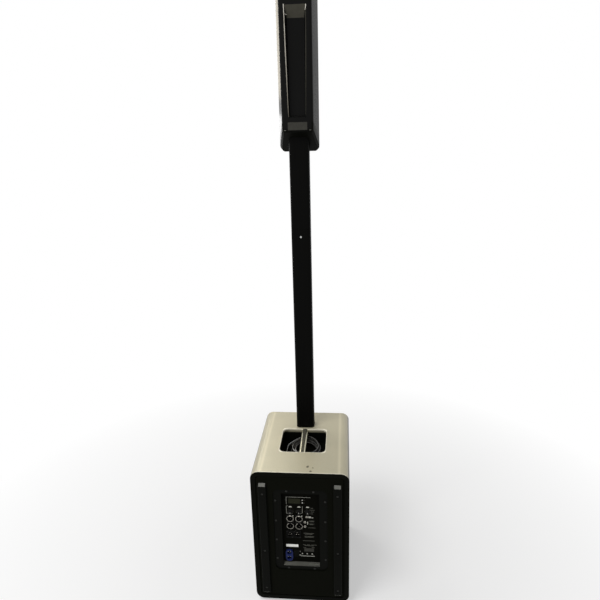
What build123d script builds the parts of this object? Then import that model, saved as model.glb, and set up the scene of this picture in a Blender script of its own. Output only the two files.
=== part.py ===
from build123d import *
import os
from math import pi, radians, sqrt, tan

# Column loudspeaker system: a bass cabinet with a carrying well in its top, a two-part column
# pole that plugs into the cabinet, and a line-array head that sits on the pole.
#
# Millimetres, +Z up. The origin is on the floor under the middle of the cabinet. The grilles
# face -Y and the control panel faces +Y.

# ---- cabinet -----------------------------------------------------------------------------
CABINET_WIDTH = 350.0
CABINET_DEPTH = 425.0
CABINET_HEIGHT = 570.0          # floor to the top face
FOOT_HEIGHT = 12.0
FOOT_RADIUS = 17.0
FOOT_INSET = 45.0               # from the cabinet's sides to a foot's axis
EDGE_RADIUS = 30.0              # rounding of the four long edges
WALL = 18.0
CAP_SKIRT = 32.0                # how far the top cap reaches down the sides
BEZEL_THICKNESS = 2.0

# ---- carrying well and its bar -------------------------------------------------------------
WELL_WIDTH = 175.0
WELL_LENGTH = 165.0
WELL_FRONT_TO_POLE = 11.2       # web of the top between the well and the pole
WELL_RADIUS = 14.0
WELL_DEPTH = 62.0               # top face to the tub's floor
TUB_WALL = 2.5
TUB_SET_BACK = 1.5              # tub's inside stands this far outside the cut-out
TUB_LEDGE = 9.0
TUB_LEDGE_THICKNESS = 3.0
TUB_LEDGE_ENDS = 20.0           # ledge's ends from the well's ends
BAR_WIDTH = 24.0
BAR_DEPTH = 22.0
BAR_ROUND = 7.0
BAR_TOP_ROUND = 2.5

# ---- pole ----------------------------------------------------------------------------------
POLE_WIDTH = 70.0
POLE_DEPTH = 52.0
POLE_RADIUS = 12.0
POLE_WALL = 3.0
POLE_BACK_FROM_REAR = 304.0     # cabinet's rear edge to the pole's rear face
POLE_GAP = 0.5                  # running gap of the pole in a socket, each side
JOINT_GAP = 0.3                 # gap of an insert inside the tube, each side
SEAM_HEIGHT = 803.0             # cabinet top to the seam of the two poles
POLE_TOP_HEIGHT = 1190.0        # cabinet top to the upper pole's end
SPIGOT_DOWN = 60.0
SPIGOT_UP = 80.0
SPIGOT_WALL = 4.0
INSERT_LENGTH = 22.0
SEAM_CHAMFER = 1.0
SPIGOT_SCREW_DOWN = 28.0        # seam to the screws that hold the spigot
SPIGOT_SCREW_RADIUS = 2.0
SPIGOT_SCREW_HEAD = (3.6, 0.9)  # radius and height
SOCKET_WALL = 4.0
SOCKET_DEPTH = 100.0            # top face to the socket's floor
SOCKET_FLOOR = 6.0
CONTACT_HEIGHT = 12.0
CONTACT_PIN = (6.0, 2.0)        # section of a blade contact
CONTACT_PIN_HEIGHT = 6.0
CONTACT_PIN_GAP = 0.4

# ---- line array ----------------------------------------------------------------------------
ARRAY_BACK_FROM_REAR = 277.0    # cabinet's rear edge to the array's rear face
ARRAY_REAR_WIDTH = 104.0
ARRAY_WIDTH = 138.0
ARRAY_FLARE_DEPTH = 73.0        # rear face to the widest line
ARRAY_DEPTH = 95.0
ARRAY_CORNER = 10.0
ARRAY_NOSE = 16.0               # rounding of the grille's front corners
ARRAY_NOSE_TAPER = 2.0
ARRAY_SKIN = 3.0
ARRAY_LOW_REAR = 1138.0         # cabinet top to the slanted underside's rear edge
ARRAY_LOW_FRONT = 1068.0        # cabinet top to its front edge
ARRAY_TOP = 1700.0              # cabinet top to the array's top
ARRAY_BOTTOM_CAP = 31.0         # measured upright
ARRAY_TOP_CAP = 20.0
ARRAY_BOTTOM_BEVEL = 6.0
ARRAY_TOP_BEVEL = 4.0
POCKET_LOW = 1181.0             # long tapered grip recess in the array's back, above the cabinet
POCKET_HIGH = 1517.0
POCKET_LOW_WIDTH = 57.0
POCKET_HIGH_WIDTH = 69.0
POCKET_FLOOR_LOW_WIDTH = 51.0
POCKET_FLOOR_HIGH_WIDTH = 55.0
POCKET_LOW_SLOPE = 7.0
POCKET_HIGH_SLOPE = 35.0
POCKET_DEPTH = 18.0
PLATE_PAD_WIDTH = 68.0          # plain raised field under the recess
PLATE_PAD_HEIGHT = 28.0
PLATE_PAD_PROUD = 0.8
DRIVER_COUNT = 4
DRIVER_PITCH = 112.0
DRIVER_FRAME = 92.0             # square front frame of a small driver
DRIVER_FRAME_THICKNESS = 3.0
DRIVER_CAN_RADIUS = 39.0
DRIVER_CAN_WALL = 2.0
DRIVER_CAN_DEPTH = 40.0
DRIVER_CAN_MOUTH = 13.0         # depth of the can's open front
DRIVER_CONE_SET_BACK = 1.5      # frame's face to the cone's edge
DRIVER_CONE_DISH = 3.5
DRIVER_CONE_THICKNESS = 4.5     # cone's edge to its flat back
DRIVER_ROW_END = 4.0            # top cap to the first driver's place
ARRAY_BAFFLE_THICKNESS = 4.0
ARRAY_BAFFLE_GAP = 1.6
DRIVER_HOLE_GAP = 0.4
GRILLE_SHEET = 1.5

# ---- rear face -----------------------------------------------------------------------------
BAFFLE_THICKNESS = 12.0
BAFFLE_GAP = 0.5
BAFFLE_CHAMFER = 3.0
RAIL_WIDTH = 30.0
RAIL_INSET = 41.5               # cabinet's side to the rail's middle
RAIL_PROUD = 10.0
RAIL_TOP_DOWN = 44.0
RAIL_BOTTOM_UP = 30.0
RAIL_SIDE_CHAMFER = 2.5
RAIL_SCREWS_DOWN = (86.0, 330.0, 500.0)
RAIL_COUNTERBORE = 3.0
SCREW_HEAD_RADIUS = 4.0
SCREW_HEAD_HEIGHT = 1.5
SCREW_SIDES = 12                # facets of a screw head or a lamp lens
PLATE_WIDTH = 194.0
PLATE_HEIGHT = 350.0
PLATE_TOP_DOWN = 70.0           # top face to the plate's upper edge
PLATE_RADIUS = 22.0
PLATE_SEAT = 7.0                # recess depth in the rear baffle
PLATE_THICKNESS = 3.0
PLATE_RIM = 12.0                # how far the plate laps over the baffle's opening
PLATE_GAP = 0.3
PLATE_SCREW_EDGE = 8.0
PLATE_SCREWS_DOWN = (118.0, 203.0, 286.0, 370.0)
PLATE_SCREWS_ACROSS = (48.0, -48.0)

# ---- sunk control panel (its items give x from the middle and z down from the top face) ------
DISH_WIDTH = 136.0
DISH_TOP_DOWN = 88.0
DISH_BOTTOM_DOWN = 404.4
DISH_DEPTH = 14.0
DISH_TOP_SLOPE = 4.0
DISH_BOTTOM_SLOPE = 8.0
DISH_WALL = 2.5
PANEL_THICKNESS = 2.0
PANEL_LAP = 2.5
SILL_THICKNESS = 0.8
SILL_MARGIN = 0.6               # strip's edges inside the sloped wall
SILL_SEAT = 0.05                # strip above the sloped wall
DISPLAY = (22.5, 129.0, 43.0, 21.5)
DISPLAY_PROUD = 1.5
LENS_X = -6.8
LENSES_DOWN = (124.6, 136.2)
LENS_RADIUS = 2.2
LENS_PROUD = 1.2
KNOBS_X = (37.5, 5.9, -25.5)
KNOBS_DOWN = 173.0
KNOB_RADIUS = 8.0
KNOB_HEIGHT = 13.0
KNOB_SKIRT = 3.0
KNOB_STEP = 1.8                 # grip is this much smaller than the skirt
KNOB_SIDES = 12
KNOB_LIFT = 0.8                 # gap between a knob's skirt and the panel
KNOB_CHAMFER = 0.8
SHAFT_RADIUS = 3.0
SHAFT_GAP = 0.06
POT_WIDTH = 12.0
POT_CLEARANCE = 0.7             # shaft bore's floor above the board
BOARD_BEHIND = 12.5             # control board's face behind the panel's front
BOARD_THICKNESS = 1.6
CONTROL_BOARD = (4.0, 145.0, 112.0, 78.0)
COMBO_X = (39.1, 6.9)
COMBO_DOWN = (203.0, 235.0)
LINK_X = (42.0, 14.5)
LINK_DOWN = 273.0
SOCKET_BORE = 9.7
SOCKET_BORE_DEPTH = 14.0
SOCKET_RING_WALL = 2.6          # raised ring round the bore
SOCKET_RING_PROUD = 1.4
SOCKET_FLANGE_EDGE = (0.7, 3.2)  # flange outside the ring, at the sides and at the ends
SOCKET_FLANGE_THICKNESS = 2.2
SOCKET_BODY_WALL = (1.3, 3.3)   # block behind the flange round the bore, at the sides and ends
SOCKET_BODY_DEPTH = 24.0
SOCKET_HOLE_GAP = 0.2           # body to the panel's hole, each side
LATCH_WIDTH = 7.0
LATCH_HEIGHT = 4.0
LATCH_RISE = 0.9                # socket's bore to the latch tab's lower side
LATCH_PROUD = 2.2
LATCH_LENGTH = 9.0
LATCH_TRAVEL = 1.5
LATCH_GAP = 0.3
LATCH_CHAMFER = 0.6
PHONO_X = -15.0
PHONO_DOWN = (214.0, 233.0)
PHONO_RADIUS = 4.2
PHONO_BORE = 2.6
PHONO_BLOCK = 11.0              # width of the block behind a pair of phono sockets
PHONO_PROUD = 6.0
PHONO_DEEP = 8.0                # sockets behind the panel
MINI_JACK = (-21.5, 194.5)
MINI_JACK_RADIUS = 3.6
MINI_JACK_BORE = 1.8
MINI_JACK_PROUD = 2.0
MAINS_X = 46.0
MAINS_DOWN = 366.0
MAINS_WIDTH = 27.0
MAINS_HEIGHT = 50.0
MAINS_BORE = 9.0
MAINS_PROUD = 5.0
MAINS_LAP = 2.0                 # flange round the housing's body, each side
SWITCH_X = 19.5
SWITCH_DOWN = 357.0
SWITCH_WIDTH = 18.0
SWITCH_HEIGHT = 31.0
SWITCH_PROUD = 2.0
SWITCH_LAP = (1.2, 1.7)         # frame round its box, at the sides and at the ends
SWITCH_BOX_DEPTH = 18.0
SWITCH_FLOOR = 2.0
SWITCH_WALL = (1.25, 1.1)       # box walls, at the sides and at the ends
ROCKER_PIVOT_DEEP = 6.0
ROCKER_TILT = 8.0
ROCKER_GAP = 0.35               # rocker to the box, each side
ROCKER_END_GAP = 2.2

# ---- inside the cabinet --------------------------------------------------------------------
FRONT_BAFFLE_SET_BACK = 22.5
FRONT_BAFFLE_THICKNESS = 18.0
WOOFER_UP = 235.0               # floor to the woofer's axis
WOOFER_HOLE = 141.0
WOOFER_LAP = 11.0               # flange outside the front wall's hole
WOOFER_FLANGE = 4.0
BASKET_SKIN = 3.0
BASKET_DEPTH = 94.0
BASKET_BACK_RADIUS = 66.0
BASKET_SPOKES = 6
BASKET_SPOKE_WIDTH = 22.0
BASKET_RIM_DEPTH = 10.0         # collar that reaches into the baffle's hole
BASKET_RIM_GAP = 0.4
BASKET_NECK_GAP = 4.0           # voice-coil gap to the basket's rear hole
BASKET_SPOKE_FOOT = 5.0
MAGNET_RADIUS = 70.0
MAGNET_LENGTH = 38.0
MAGNET_BEVEL = 5.0
CONE_EDGE = 121.6
CONE_NECK = 33.0
CONE_SKIN = 2.0
CONE_DROP = 58.0                # cone's edge to its neck
DUST_CAP_RISE = 9.0             # neck to the flat dust cap's face
DUST_CAP_LAP = 8.0              # dust cap's edge outside the neck
FORMER_WALL = 1.6
FORMER_LIFT = 12.0              # voice coil's end to the gap's floor
COIL_CLEARANCE = 0.8            # voice-coil former to the magnet's gap, each side
COIL_GAP_DEPTH = 28.0
SURROUND_ROLL = 9.0
SURROUND_GAP_IN = 0.4
SURROUND_GAP_OUT = 0.7
SURROUND_SET = 0.6              # cone and surround in front of the front wall
PORT_OFFSET = 105.0
PORT_DOWN = 118.0
PORT_SIZE = (66.0, 58.0)        # inside of a port duct
PORT_CORNER = 7.0               # legs of a duct's bevelled corners inside
PORT_WALL = 3.0
PORT_LENGTH = 120.0
PORT_LIP = 8.0
PORT_LIP_PROUD = 3.0
PORT_HOLE_GAP = 0.2
GRILLE_DEPTH = 26.0             # face to the end of the returned sides
GRILLE_BEVEL = 8.0
GRILLE_WINDOW = 44.0
GRILLE_ROWS = 2
GRILLE_WEB = 10.0
ARRAY_GRILLE_WINDOW = 40.0
POWER_BOARD = (164.0, 318.0)
POWER_BOARD_BEHIND = 53.5       # board's rear side behind the plate's back
POWER_BOARD_THICKNESS = 2.0
PILLAR_RADIUS = 3.5             # hexagonal spacers, middle to corner
PILLAR_INSET = (4.0, 12.0)      # board's edges to a spacer's axis
BOARD_BLOCKS = ((-30, 90, 46, 60, 18), (34, 80, 34, 40, 15), (30, -20, 50, 70, 17),
                (-34, -60, 40, 50, 13))   # x, z, width, height and depth of its large parts
SINK_WIDTH = 104.0
SINK_HEIGHT = 200.0
SINK_DEPTH = 40.0
SINK_FINS = 7
SINK_FIN_THICKNESS = 3.0
SINK_BASE = 8.0

# ---- stowed link lead ------------------------------------------------------------------------
CORD_DIAMETER = 7.5
LEAD_MEETS_COIL = (-58.0, 23.2, 4.4)     # end of the first run, from the coil's centre and the floor
COIL_CENTRE = (-8.0, -19.2)     # from the well's middle
COIL_OUTER = 62.0
COIL_INNER = 39.0
COIL_HEIGHT = 31.0
GLAND_X = -62.0
GLAND_UP = 12.0                 # tub's floor to the gland's axis
GLAND_LENGTH = 22.0
GLAND_SLEEVE = 6.0
GLAND_NUT = 9.5                 # hexagonal nuts, middle to corner
GLAND_TAIL = 6.0                # sleeve inside the cabinet
GLAND_LOCKNUT = 4.0
GLAND_HOLE_GAP = 0.2
PLUG_X = 66.0
PLUG_START = 7.8                # well's middle to the plug's relief
PLUG_LENGTH = 64.0
PLUG_RADIUS = 9.0
PLUG_RELIEF = 5.5
PLUG_RELIEF_LENGTH = 15.0

# ---- sizes and places that follow --------------------------------------------------------------
SOCKET_RING = SOCKET_BORE + SOCKET_RING_WALL
SOCKET_FLANGE = tuple(2 * (SOCKET_RING + edge) for edge in SOCKET_FLANGE_EDGE)
SOCKET_BODY = tuple(2 * (SOCKET_BORE + wall) for wall in SOCKET_BODY_WALL)
LATCH_LOW = SOCKET_BORE + LATCH_RISE
ROCKER_WIDTH = SWITCH_WIDTH - 2 * (SWITCH_LAP[0] + SWITCH_WALL[0] + ROCKER_GAP)
ROCKER_REACH = SWITCH_HEIGHT / 2 - SWITCH_LAP[1] - SWITCH_WALL[1] - ROCKER_END_GAP
COIL_GAP_OUT = CONE_NECK + COIL_CLEARANCE
COIL_GAP_IN = CONE_NECK - FORMER_WALL - COIL_CLEARANCE
REAR = CABINET_DEPTH / 2
FRONT = -CABINET_DEPTH / 2
TOP = CABINET_HEIGHT
CAP_UNDER = TOP - WALL
POLE_BACK = REAR - POLE_BACK_FROM_REAR
POLE_Y = POLE_BACK - POLE_DEPTH / 2
WELL_Y = POLE_BACK + WELL_FRONT_TO_POLE + WELL_LENGTH / 2
TUB_FLOOR = TOP - WELL_DEPTH
SOCKET_FLOOR_Z = TOP - SOCKET_DEPTH
POLE_FOOT_Z = SOCKET_FLOOR_Z + CONTACT_HEIGHT
SEAM_Z = TOP + SEAM_HEIGHT
POLE_TOP_Z = TOP + POLE_TOP_HEIGHT
ARRAY_BACK = REAR - ARRAY_BACK_FROM_REAR
ARRAY_WIDEST = ARRAY_BACK - ARRAY_FLARE_DEPTH
ARRAY_FACE = ARRAY_BACK - ARRAY_DEPTH
ARRAY_TOP_Z = TOP + ARRAY_TOP
PLATE_FACE = REAR - PLATE_SEAT + PLATE_THICKNESS
PANEL_FACE = PLATE_FACE - DISH_DEPTH
PANEL_BACK = PANEL_FACE - PANEL_THICKNESS
BAFFLE_FACE = FRONT + FRONT_BAFFLE_SET_BACK
SURROUND_SEAT = BAFFLE_FACE - SURROUND_SET
BASKET_BACK = BAFFLE_FACE + BASKET_DEPTH
BOARD_FACE = PANEL_FACE - BOARD_BEHIND
PLUG_START_Y = WELL_Y + PLUG_START


# ---- shared shapes -------------------------------------------------------------------------
def prism_x(outline, x_low, x_high):
    """Prism of a Y-Z outline between two x values."""
    plane = Plane((x_low, 0, 0), x_dir=(0, 1, 0), z_dir=(1, 0, 0))
    return extrude(plane * outline, x_high - x_low, dir=(1, 0, 0))


def prism_y(outline, y_low, y_high):
    """Prism of an X-Z outline between two y values."""
    plane = Plane((0, y_high, 0), x_dir=(1, 0, 0), z_dir=(0, -1, 0))
    return extrude(plane * outline, y_high - y_low, dir=(0, -1, 0))


def prism_z(outline, z_low, z_high):
    """Prism of an X-Y outline between two z values."""
    return extrude(Pos(0, 0, z_low) * outline, z_high - z_low, dir=(0, 0, 1))


def rod_y(x, z, radius, y_low, y_high):
    """Round bar along Y."""
    return prism_y(Pos(x, z) * Circle(radius), y_low, y_high)


def turned_y(x, z, points):
    """Body turned about an axis along Y through (x, z). Points are (radius, y)."""
    half = make_face(Polyline(*[(x + r, y, z) for r, y in points], close=True))
    return revolve(half, Axis((x, 0, z), (0, 1, 0)), 360)


def group(solids):
    """Several separate solids kept in one node."""
    return Compound(children=[s for piece in solids for s in piece.solids()])


def pole_outline(grow=0.0):
    """Section of the pole at its own place, grown by a gap or shrunk by a wall."""
    return Pos(0, POLE_Y) * RectangleRounded(
        POLE_WIDTH + 2 * grow, POLE_DEPTH + 2 * grow, POLE_RADIUS + grow)


def contact_places():
    """Centres of the four contact pins, the same at both ends of the pole."""
    reach_x = POLE_WIDTH / 2 - POLE_WALL - 16
    reach_y = POLE_DEPTH / 2 - POLE_WALL - 12
    return [(sx * reach_x, POLE_Y + sy * reach_y) for sx in (-1, 1) for sy in (-1, 1)]


def contact_pins(grow, z_low, z_high):
    """Four upright blades at the contact places."""
    long, thin = CONTACT_PIN
    return [prism_z(Pos(x, y) * Rectangle(long + 2 * grow, thin + 2 * grow), z_low, z_high)
            for x, y in contact_places()]


# ---- cabinet shell -------------------------------------------------------------------------
def cabinet_ring():
    """Closed section of the cabinet's walls, in X-Z."""
    height = CABINET_HEIGHT - FOOT_HEIGHT
    middle = FOOT_HEIGHT + height / 2
    outer = RectangleRounded(CABINET_WIDTH, height, EDGE_RADIUS)
    inner = RectangleRounded(CABINET_WIDTH - 2 * WALL, height - 2 * WALL, EDGE_RADIUS - WALL)
    return Pos(0, middle) * (outer - inner)


def cap_band():
    """Field of the section that belongs to the top cap."""
    return Pos(0, TOP - CAP_SKIRT / 2) * Rectangle(CABINET_WIDTH + 2, CAP_SKIRT)


def cabinet_sleeve():
    """Bottom and side walls in one wrapped shell."""
    return prism_y(cabinet_ring() - cap_band(), FRONT, REAR - BEZEL_THICKNESS)


def well_outline(grow=0.0):
    """Cut-out of the carrying well."""
    return Pos(0, WELL_Y) * RectangleRounded(
        WELL_WIDTH + 2 * grow, WELL_LENGTH + 2 * grow, WELL_RADIUS + grow)


def top_cap():
    """Painted top with rolled sides, cut out for the well and the pole."""
    cap = prism_y(cabinet_ring() & cap_band(), FRONT, REAR - BEZEL_THICKNESS)
    cap -= prism_z(well_outline(), CAP_UNDER - 1, TOP + 1)
    return cap - prism_z(pole_outline(POLE_GAP), CAP_UNDER - 1, TOP + 1)


def carry_bar():
    """Grip bar across the middle of the well, flush with the top."""
    bar = prism_y(Pos(0, TOP - BAR_DEPTH / 2) * Rectangle(BAR_WIDTH, BAR_DEPTH),
                  WELL_Y - WELL_LENGTH / 2, WELL_Y + WELL_LENGTH / 2)
    long_edges = bar.edges().filter_by(Axis.Y).sort_by(Axis.Z)
    bar = fillet(long_edges[:2], BAR_ROUND)
    long_edges = bar.edges().filter_by(Axis.Y).filter_by_position(Axis.Z, TOP - 0.1, TOP + 0.1)
    return fillet(long_edges, BAR_TOP_ROUND)


def gland_place():
    """x and z of the lead's gland, and the y of the tub's rear wall inside."""
    return GLAND_X, TUB_FLOOR + GLAND_UP, WELL_Y + WELL_LENGTH / 2 + TUB_SET_BACK


def well_tub():
    """Moulded tub under the well, with a ledge along each side for its screws."""
    grow = TUB_SET_BACK + TUB_WALL
    tub = prism_z(well_outline(grow), TUB_FLOOR - TUB_WALL, CAP_UNDER)
    for side in (-1, 1):
        x = side * (WELL_WIDTH / 2 + grow + TUB_LEDGE / 2 - 1)
        ledge = Pos(x, WELL_Y) * Rectangle(TUB_LEDGE + 2, WELL_LENGTH - 2 * TUB_LEDGE_ENDS)
        tub += prism_z(ledge, CAP_UNDER - TUB_LEDGE_THICKNESS, CAP_UNDER)
    tub -= prism_z(well_outline(TUB_SET_BACK), TUB_FLOOR, CAP_UNDER + 1)
    x, z, wall = gland_place()
    return tub - rod_y(x, z, GLAND_SLEEVE + GLAND_HOLE_GAP, wall - 1, wall + TUB_WALL + 1)


def pole_socket():
    """Deep moulded socket under the top that the pole stands in."""
    low = SOCKET_FLOOR_Z - SOCKET_FLOOR
    body = prism_z(pole_outline(POLE_GAP + SOCKET_WALL), low, CAP_UNDER)
    return body - prism_z(pole_outline(POLE_GAP), SOCKET_FLOOR_Z, CAP_UNDER + 1)


def socket_contacts():
    """Contact block on the socket's floor. Its blades enter the pole's foot."""
    block = prism_z(Pos(0, POLE_Y) * Rectangle(POLE_WIDTH - 20, POLE_DEPTH - 18),
                    SOCKET_FLOOR_Z, POLE_FOOT_Z)
    for pin in contact_pins(0, POLE_FOOT_Z - 1, POLE_FOOT_Z + CONTACT_PIN_HEIGHT):
        block += pin
    return block


def rear_bezel():
    """Thin black edging over the rear end of the walls."""
    return prism_y(cabinet_ring(), REAR - BEZEL_THICKNESS, REAR)


def inside_outline(gap=BAFFLE_GAP):
    """Outline of a panel that fits between the walls."""
    height = CABINET_HEIGHT - FOOT_HEIGHT
    return Pos(0, FOOT_HEIGHT + height / 2) * RectangleRounded(
        CABINET_WIDTH - 2 * WALL - 2 * gap, height - 2 * WALL - 2 * gap, EDGE_RADIUS - WALL - gap)


def plate_outline(shrink=0.0):
    """Outline of the amplifier plate."""
    return Pos(0, TOP - PLATE_TOP_DOWN - PLATE_HEIGHT / 2) * RectangleRounded(
        PLATE_WIDTH - 2 * shrink, PLATE_HEIGHT - 2 * shrink, PLATE_RADIUS - shrink)


def rear_baffle():
    """Rear wall, with a bevelled rim and a seat and opening for the amplifier plate."""
    wall = prism_y(inside_outline(), REAR - BAFFLE_THICKNESS, REAR)
    wall = chamfer(wall.faces().sort_by(Axis.Y)[-1].edges(), BAFFLE_CHAMFER)
    wall -= prism_y(plate_outline(), REAR - PLATE_SEAT, REAR + 1)
    return wall - prism_y(plate_outline(PLATE_RIM), REAR - BAFFLE_THICKNESS - 1, REAR)


def rail_x(side):
    return side * (CABINET_WIDTH / 2 - RAIL_INSET)


def skid_rails():
    """Two upright skids that the cabinet is tipped back on, with sloped ends and sunk screws."""
    high = TOP - RAIL_TOP_DOWN
    low = FOOT_HEIGHT + RAIL_BOTTOM_UP
    face = REAR + RAIL_PROUD
    side_view = Polygon((REAR, high), (face, high - RAIL_PROUD), (face, low + RAIL_PROUD), (REAR, low),
                        align=None)
    rails = []
    for side in (-1, 1):
        middle = rail_x(side)
        rail = prism_x(side_view, middle - RAIL_WIDTH / 2, middle + RAIL_WIDTH / 2)
        face_edges = rail.edges().filter_by(Axis.Z).filter_by_position(Axis.Y, face - 0.1, face + 0.1)
        rail = chamfer(face_edges, RAIL_SIDE_CHAMFER)
        for down in RAIL_SCREWS_DOWN:
            bore = Pos(middle, TOP - down) * RegularPolygon(SCREW_HEAD_RADIUS + 1, SCREW_SIDES)
            rail -= prism_y(bore, face - RAIL_COUNTERBORE, face + 1)
        rails.append(rail)
    return group(rails)


def screw_head(x, z, y):
    """Low head of a screw that is driven along -Y into a face at y."""
    outline = Pos(x, z) * RegularPolygon(SCREW_HEAD_RADIUS, SCREW_SIDES)
    return prism_y(outline, y, y + SCREW_HEAD_HEIGHT)


def rear_screws():
    """Screws of the rails and of the amplifier plate."""
    heads = [screw_head(rail_x(side), TOP - down, REAR + RAIL_PROUD - RAIL_COUNTERBORE)
             for side in (-1, 1) for down in RAIL_SCREWS_DOWN]
    edge = PLATE_WIDTH / 2 - PLATE_SCREW_EDGE
    heads += [screw_head(side * edge, TOP - down, PLATE_FACE)
              for side in (-1, 1) for down in PLATE_SCREWS_DOWN]
    for down in (PLATE_TOP_DOWN + PLATE_SCREW_EDGE, PLATE_TOP_DOWN + PLATE_HEIGHT - PLATE_SCREW_EDGE):
        heads += [screw_head(x, TOP - down, PLATE_FACE) for x in PLATE_SCREWS_ACROSS]
    return group(heads)


# ---- amplifier plate and control panel --------------------------------------------------------
def dish_outline(grow=0.0):
    """Side view (Y-Z) of the sunk field: a steep upper wall and a sloped sill below."""
    mouth_high = TOP - DISH_TOP_DOWN + grow
    mouth_low = TOP - DISH_BOTTOM_DOWN - grow
    return Polygon((PLATE_FACE, mouth_high), (PANEL_FACE, mouth_high - DISH_TOP_SLOPE),
                   (PANEL_FACE, mouth_low + DISH_BOTTOM_SLOPE), (PLATE_FACE, mouth_low), align=None)


def amp_plate():
    """Amplifier plate with a moulded dish that protects the knobs and sockets."""
    plate = prism_y(plate_outline(PLATE_GAP), PLATE_FACE - PLATE_THICKNESS, PLATE_FACE)
    half = DISH_WIDTH / 2
    plate += prism_x(dish_outline(DISH_WALL), -half - DISH_WALL, half + DISH_WALL)
    plate -= prism_x(dish_outline(), -half, half)
    mouth = Pos(0, TOP - (DISH_TOP_DOWN + DISH_BOTTOM_DOWN) / 2) * Rectangle(
        DISH_WIDTH, DISH_BOTTOM_DOWN - DISH_TOP_DOWN)
    return plate - prism_y(mouth, PLATE_FACE - 0.01, PLATE_FACE + 5)


def panel_sill():
    """Bright strip on the dish's sloped lower wall."""
    low = TOP - DISH_BOTTOM_DOWN
    slope = DISH_BOTTOM_SLOPE / DISH_DEPTH
    front, back = PLATE_FACE - SILL_MARGIN, PANEL_FACE + SILL_MARGIN
    z_front = low + slope * (PLATE_FACE - front) + SILL_SEAT
    z_back = low + slope * (PLATE_FACE - back) + SILL_SEAT
    strip = Polygon((front, z_front), (back, z_back), (back, z_back + SILL_THICKNESS),
                    (front, z_front + SILL_THICKNESS), align=None)
    return prism_x(strip, -DISH_WIDTH / 2 + 1, DISH_WIDTH / 2 - 1)


def panel_items():
    """x and z of each round socket on the panel."""
    combos = [(x, TOP - down) for down in COMBO_DOWN for x in COMBO_X]
    links = [(x, TOP - LINK_DOWN) for x in LINK_X]
    return combos, links


def mains_centres():
    reach = (MAINS_HEIGHT - MAINS_WIDTH) / 2
    return [(MAINS_X, TOP - MAINS_DOWN + s * reach) for s in (1, -1)]


def hole_for(x, z, width, height):
    """Rectangular hole with the usual gap round what passes through it."""
    return Pos(x, z) * Rectangle(width + 2 * SOCKET_HOLE_GAP, height + 2 * SOCKET_HOLE_GAP)


def latch_slot(x, z):
    """Outline of the slot that a release tab moves in, above the socket at (x, z)."""
    return Pos(x, z + LATCH_LOW + LATCH_HEIGHT / 2) * Rectangle(
        LATCH_WIDTH + 2 * LATCH_GAP, LATCH_HEIGHT + 2 * LATCH_GAP)


def control_panel():
    """Printed panel behind the dish, holed for what it carries."""
    high = TOP - DISH_TOP_DOWN - DISH_TOP_SLOPE + PANEL_LAP
    low = TOP - DISH_BOTTOM_DOWN + DISH_BOTTOM_SLOPE - PANEL_LAP
    sheet = Pos(0, (high + low) / 2) * Rectangle(DISH_WIDTH + 2 * PANEL_LAP, high - low)
    combos, links = panel_items()
    for x, z in combos + links:
        sheet -= hole_for(x, z, *SOCKET_BODY)
    for x, z in combos:
        sheet -= latch_slot(x, z)
    for x in KNOBS_X:
        sheet -= Pos(x, TOP - KNOBS_DOWN) * Circle(SHAFT_RADIUS + SHAFT_GAP)
    sheet -= hole_for(*phono_block())
    sheet -= Pos(MINI_JACK[0], TOP - MINI_JACK[1]) * Circle(MINI_JACK_RADIUS + SOCKET_HOLE_GAP)
    sheet -= hole_for(MAINS_X, TOP - MAINS_DOWN, *mains_body())
    sheet -= hole_for(SWITCH_X, TOP - SWITCH_DOWN, *switch_box())
    return prism_y(sheet, PANEL_BACK, PANEL_FACE)


def display_window():
    """Clear window of the small display."""
    x, down, width, height = DISPLAY
    lens = prism_y(Pos(x, TOP - down) * Rectangle(width, height), PANEL_FACE, PANEL_FACE + DISPLAY_PROUD)
    return chamfer(lens.faces().sort_by(Axis.Y)[-1].edges(), 0.5)


def status_lenses():
    """Two small lenses of the status lamps beside the display."""
    lens = RegularPolygon(LENS_RADIUS, SCREW_SIDES)
    return group([prism_y(Pos(LENS_X, TOP - down) * lens, PANEL_FACE, PANEL_FACE + LENS_PROUD)
                  for down in LENSES_DOWN])


def socket_body(x, z, ring_proud):
    """Round socket: flange, raised ring where it has one, block behind and a deep cup."""
    face = PANEL_FACE + SOCKET_FLANGE_THICKNESS
    body = prism_y(Pos(x, z) * Rectangle(*SOCKET_FLANGE), PANEL_FACE, face)
    body += prism_y(Pos(x, z) * Rectangle(*SOCKET_BODY), face - SOCKET_BODY_DEPTH, face)
    if ring_proud:
        body += rod_y(x, z, SOCKET_RING, face - 1, face + ring_proud)
    mouth = face + ring_proud
    return body - rod_y(x, z, SOCKET_BORE, mouth - SOCKET_BORE_DEPTH, mouth + 1)


def combo_socket(x, z):
    """Combined round socket with a slot for its release tab."""
    mouth = PANEL_FACE + SOCKET_FLANGE_THICKNESS + SOCKET_RING_PROUD
    slot = prism_y(latch_slot(x, z), mouth - LATCH_LENGTH - LATCH_TRAVEL - 2, mouth + 1)
    return socket_body(x, z, SOCKET_RING_PROUD) - slot


def latch_tab(x, z):
    """Release tab that is pressed inwards above a combined socket."""
    ring_face = PANEL_FACE + SOCKET_FLANGE_THICKNESS + SOCKET_RING_PROUD
    tab = prism_y(Pos(x, z + LATCH_LOW + LATCH_HEIGHT / 2) * Rectangle(LATCH_WIDTH, LATCH_HEIGHT),
                  ring_face + LATCH_PROUD - LATCH_LENGTH, ring_face + LATCH_PROUD)
    return chamfer(tab.faces().sort_by(Axis.Y)[-1].edges(), LATCH_CHAMFER)


def link_sockets():
    """Two round output sockets with a plain flange."""
    return group([socket_body(x, z, 0) for x, z in panel_items()[1]])


def phono_places():
    return [(PHONO_X, TOP - down) for down in PHONO_DOWN]


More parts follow.
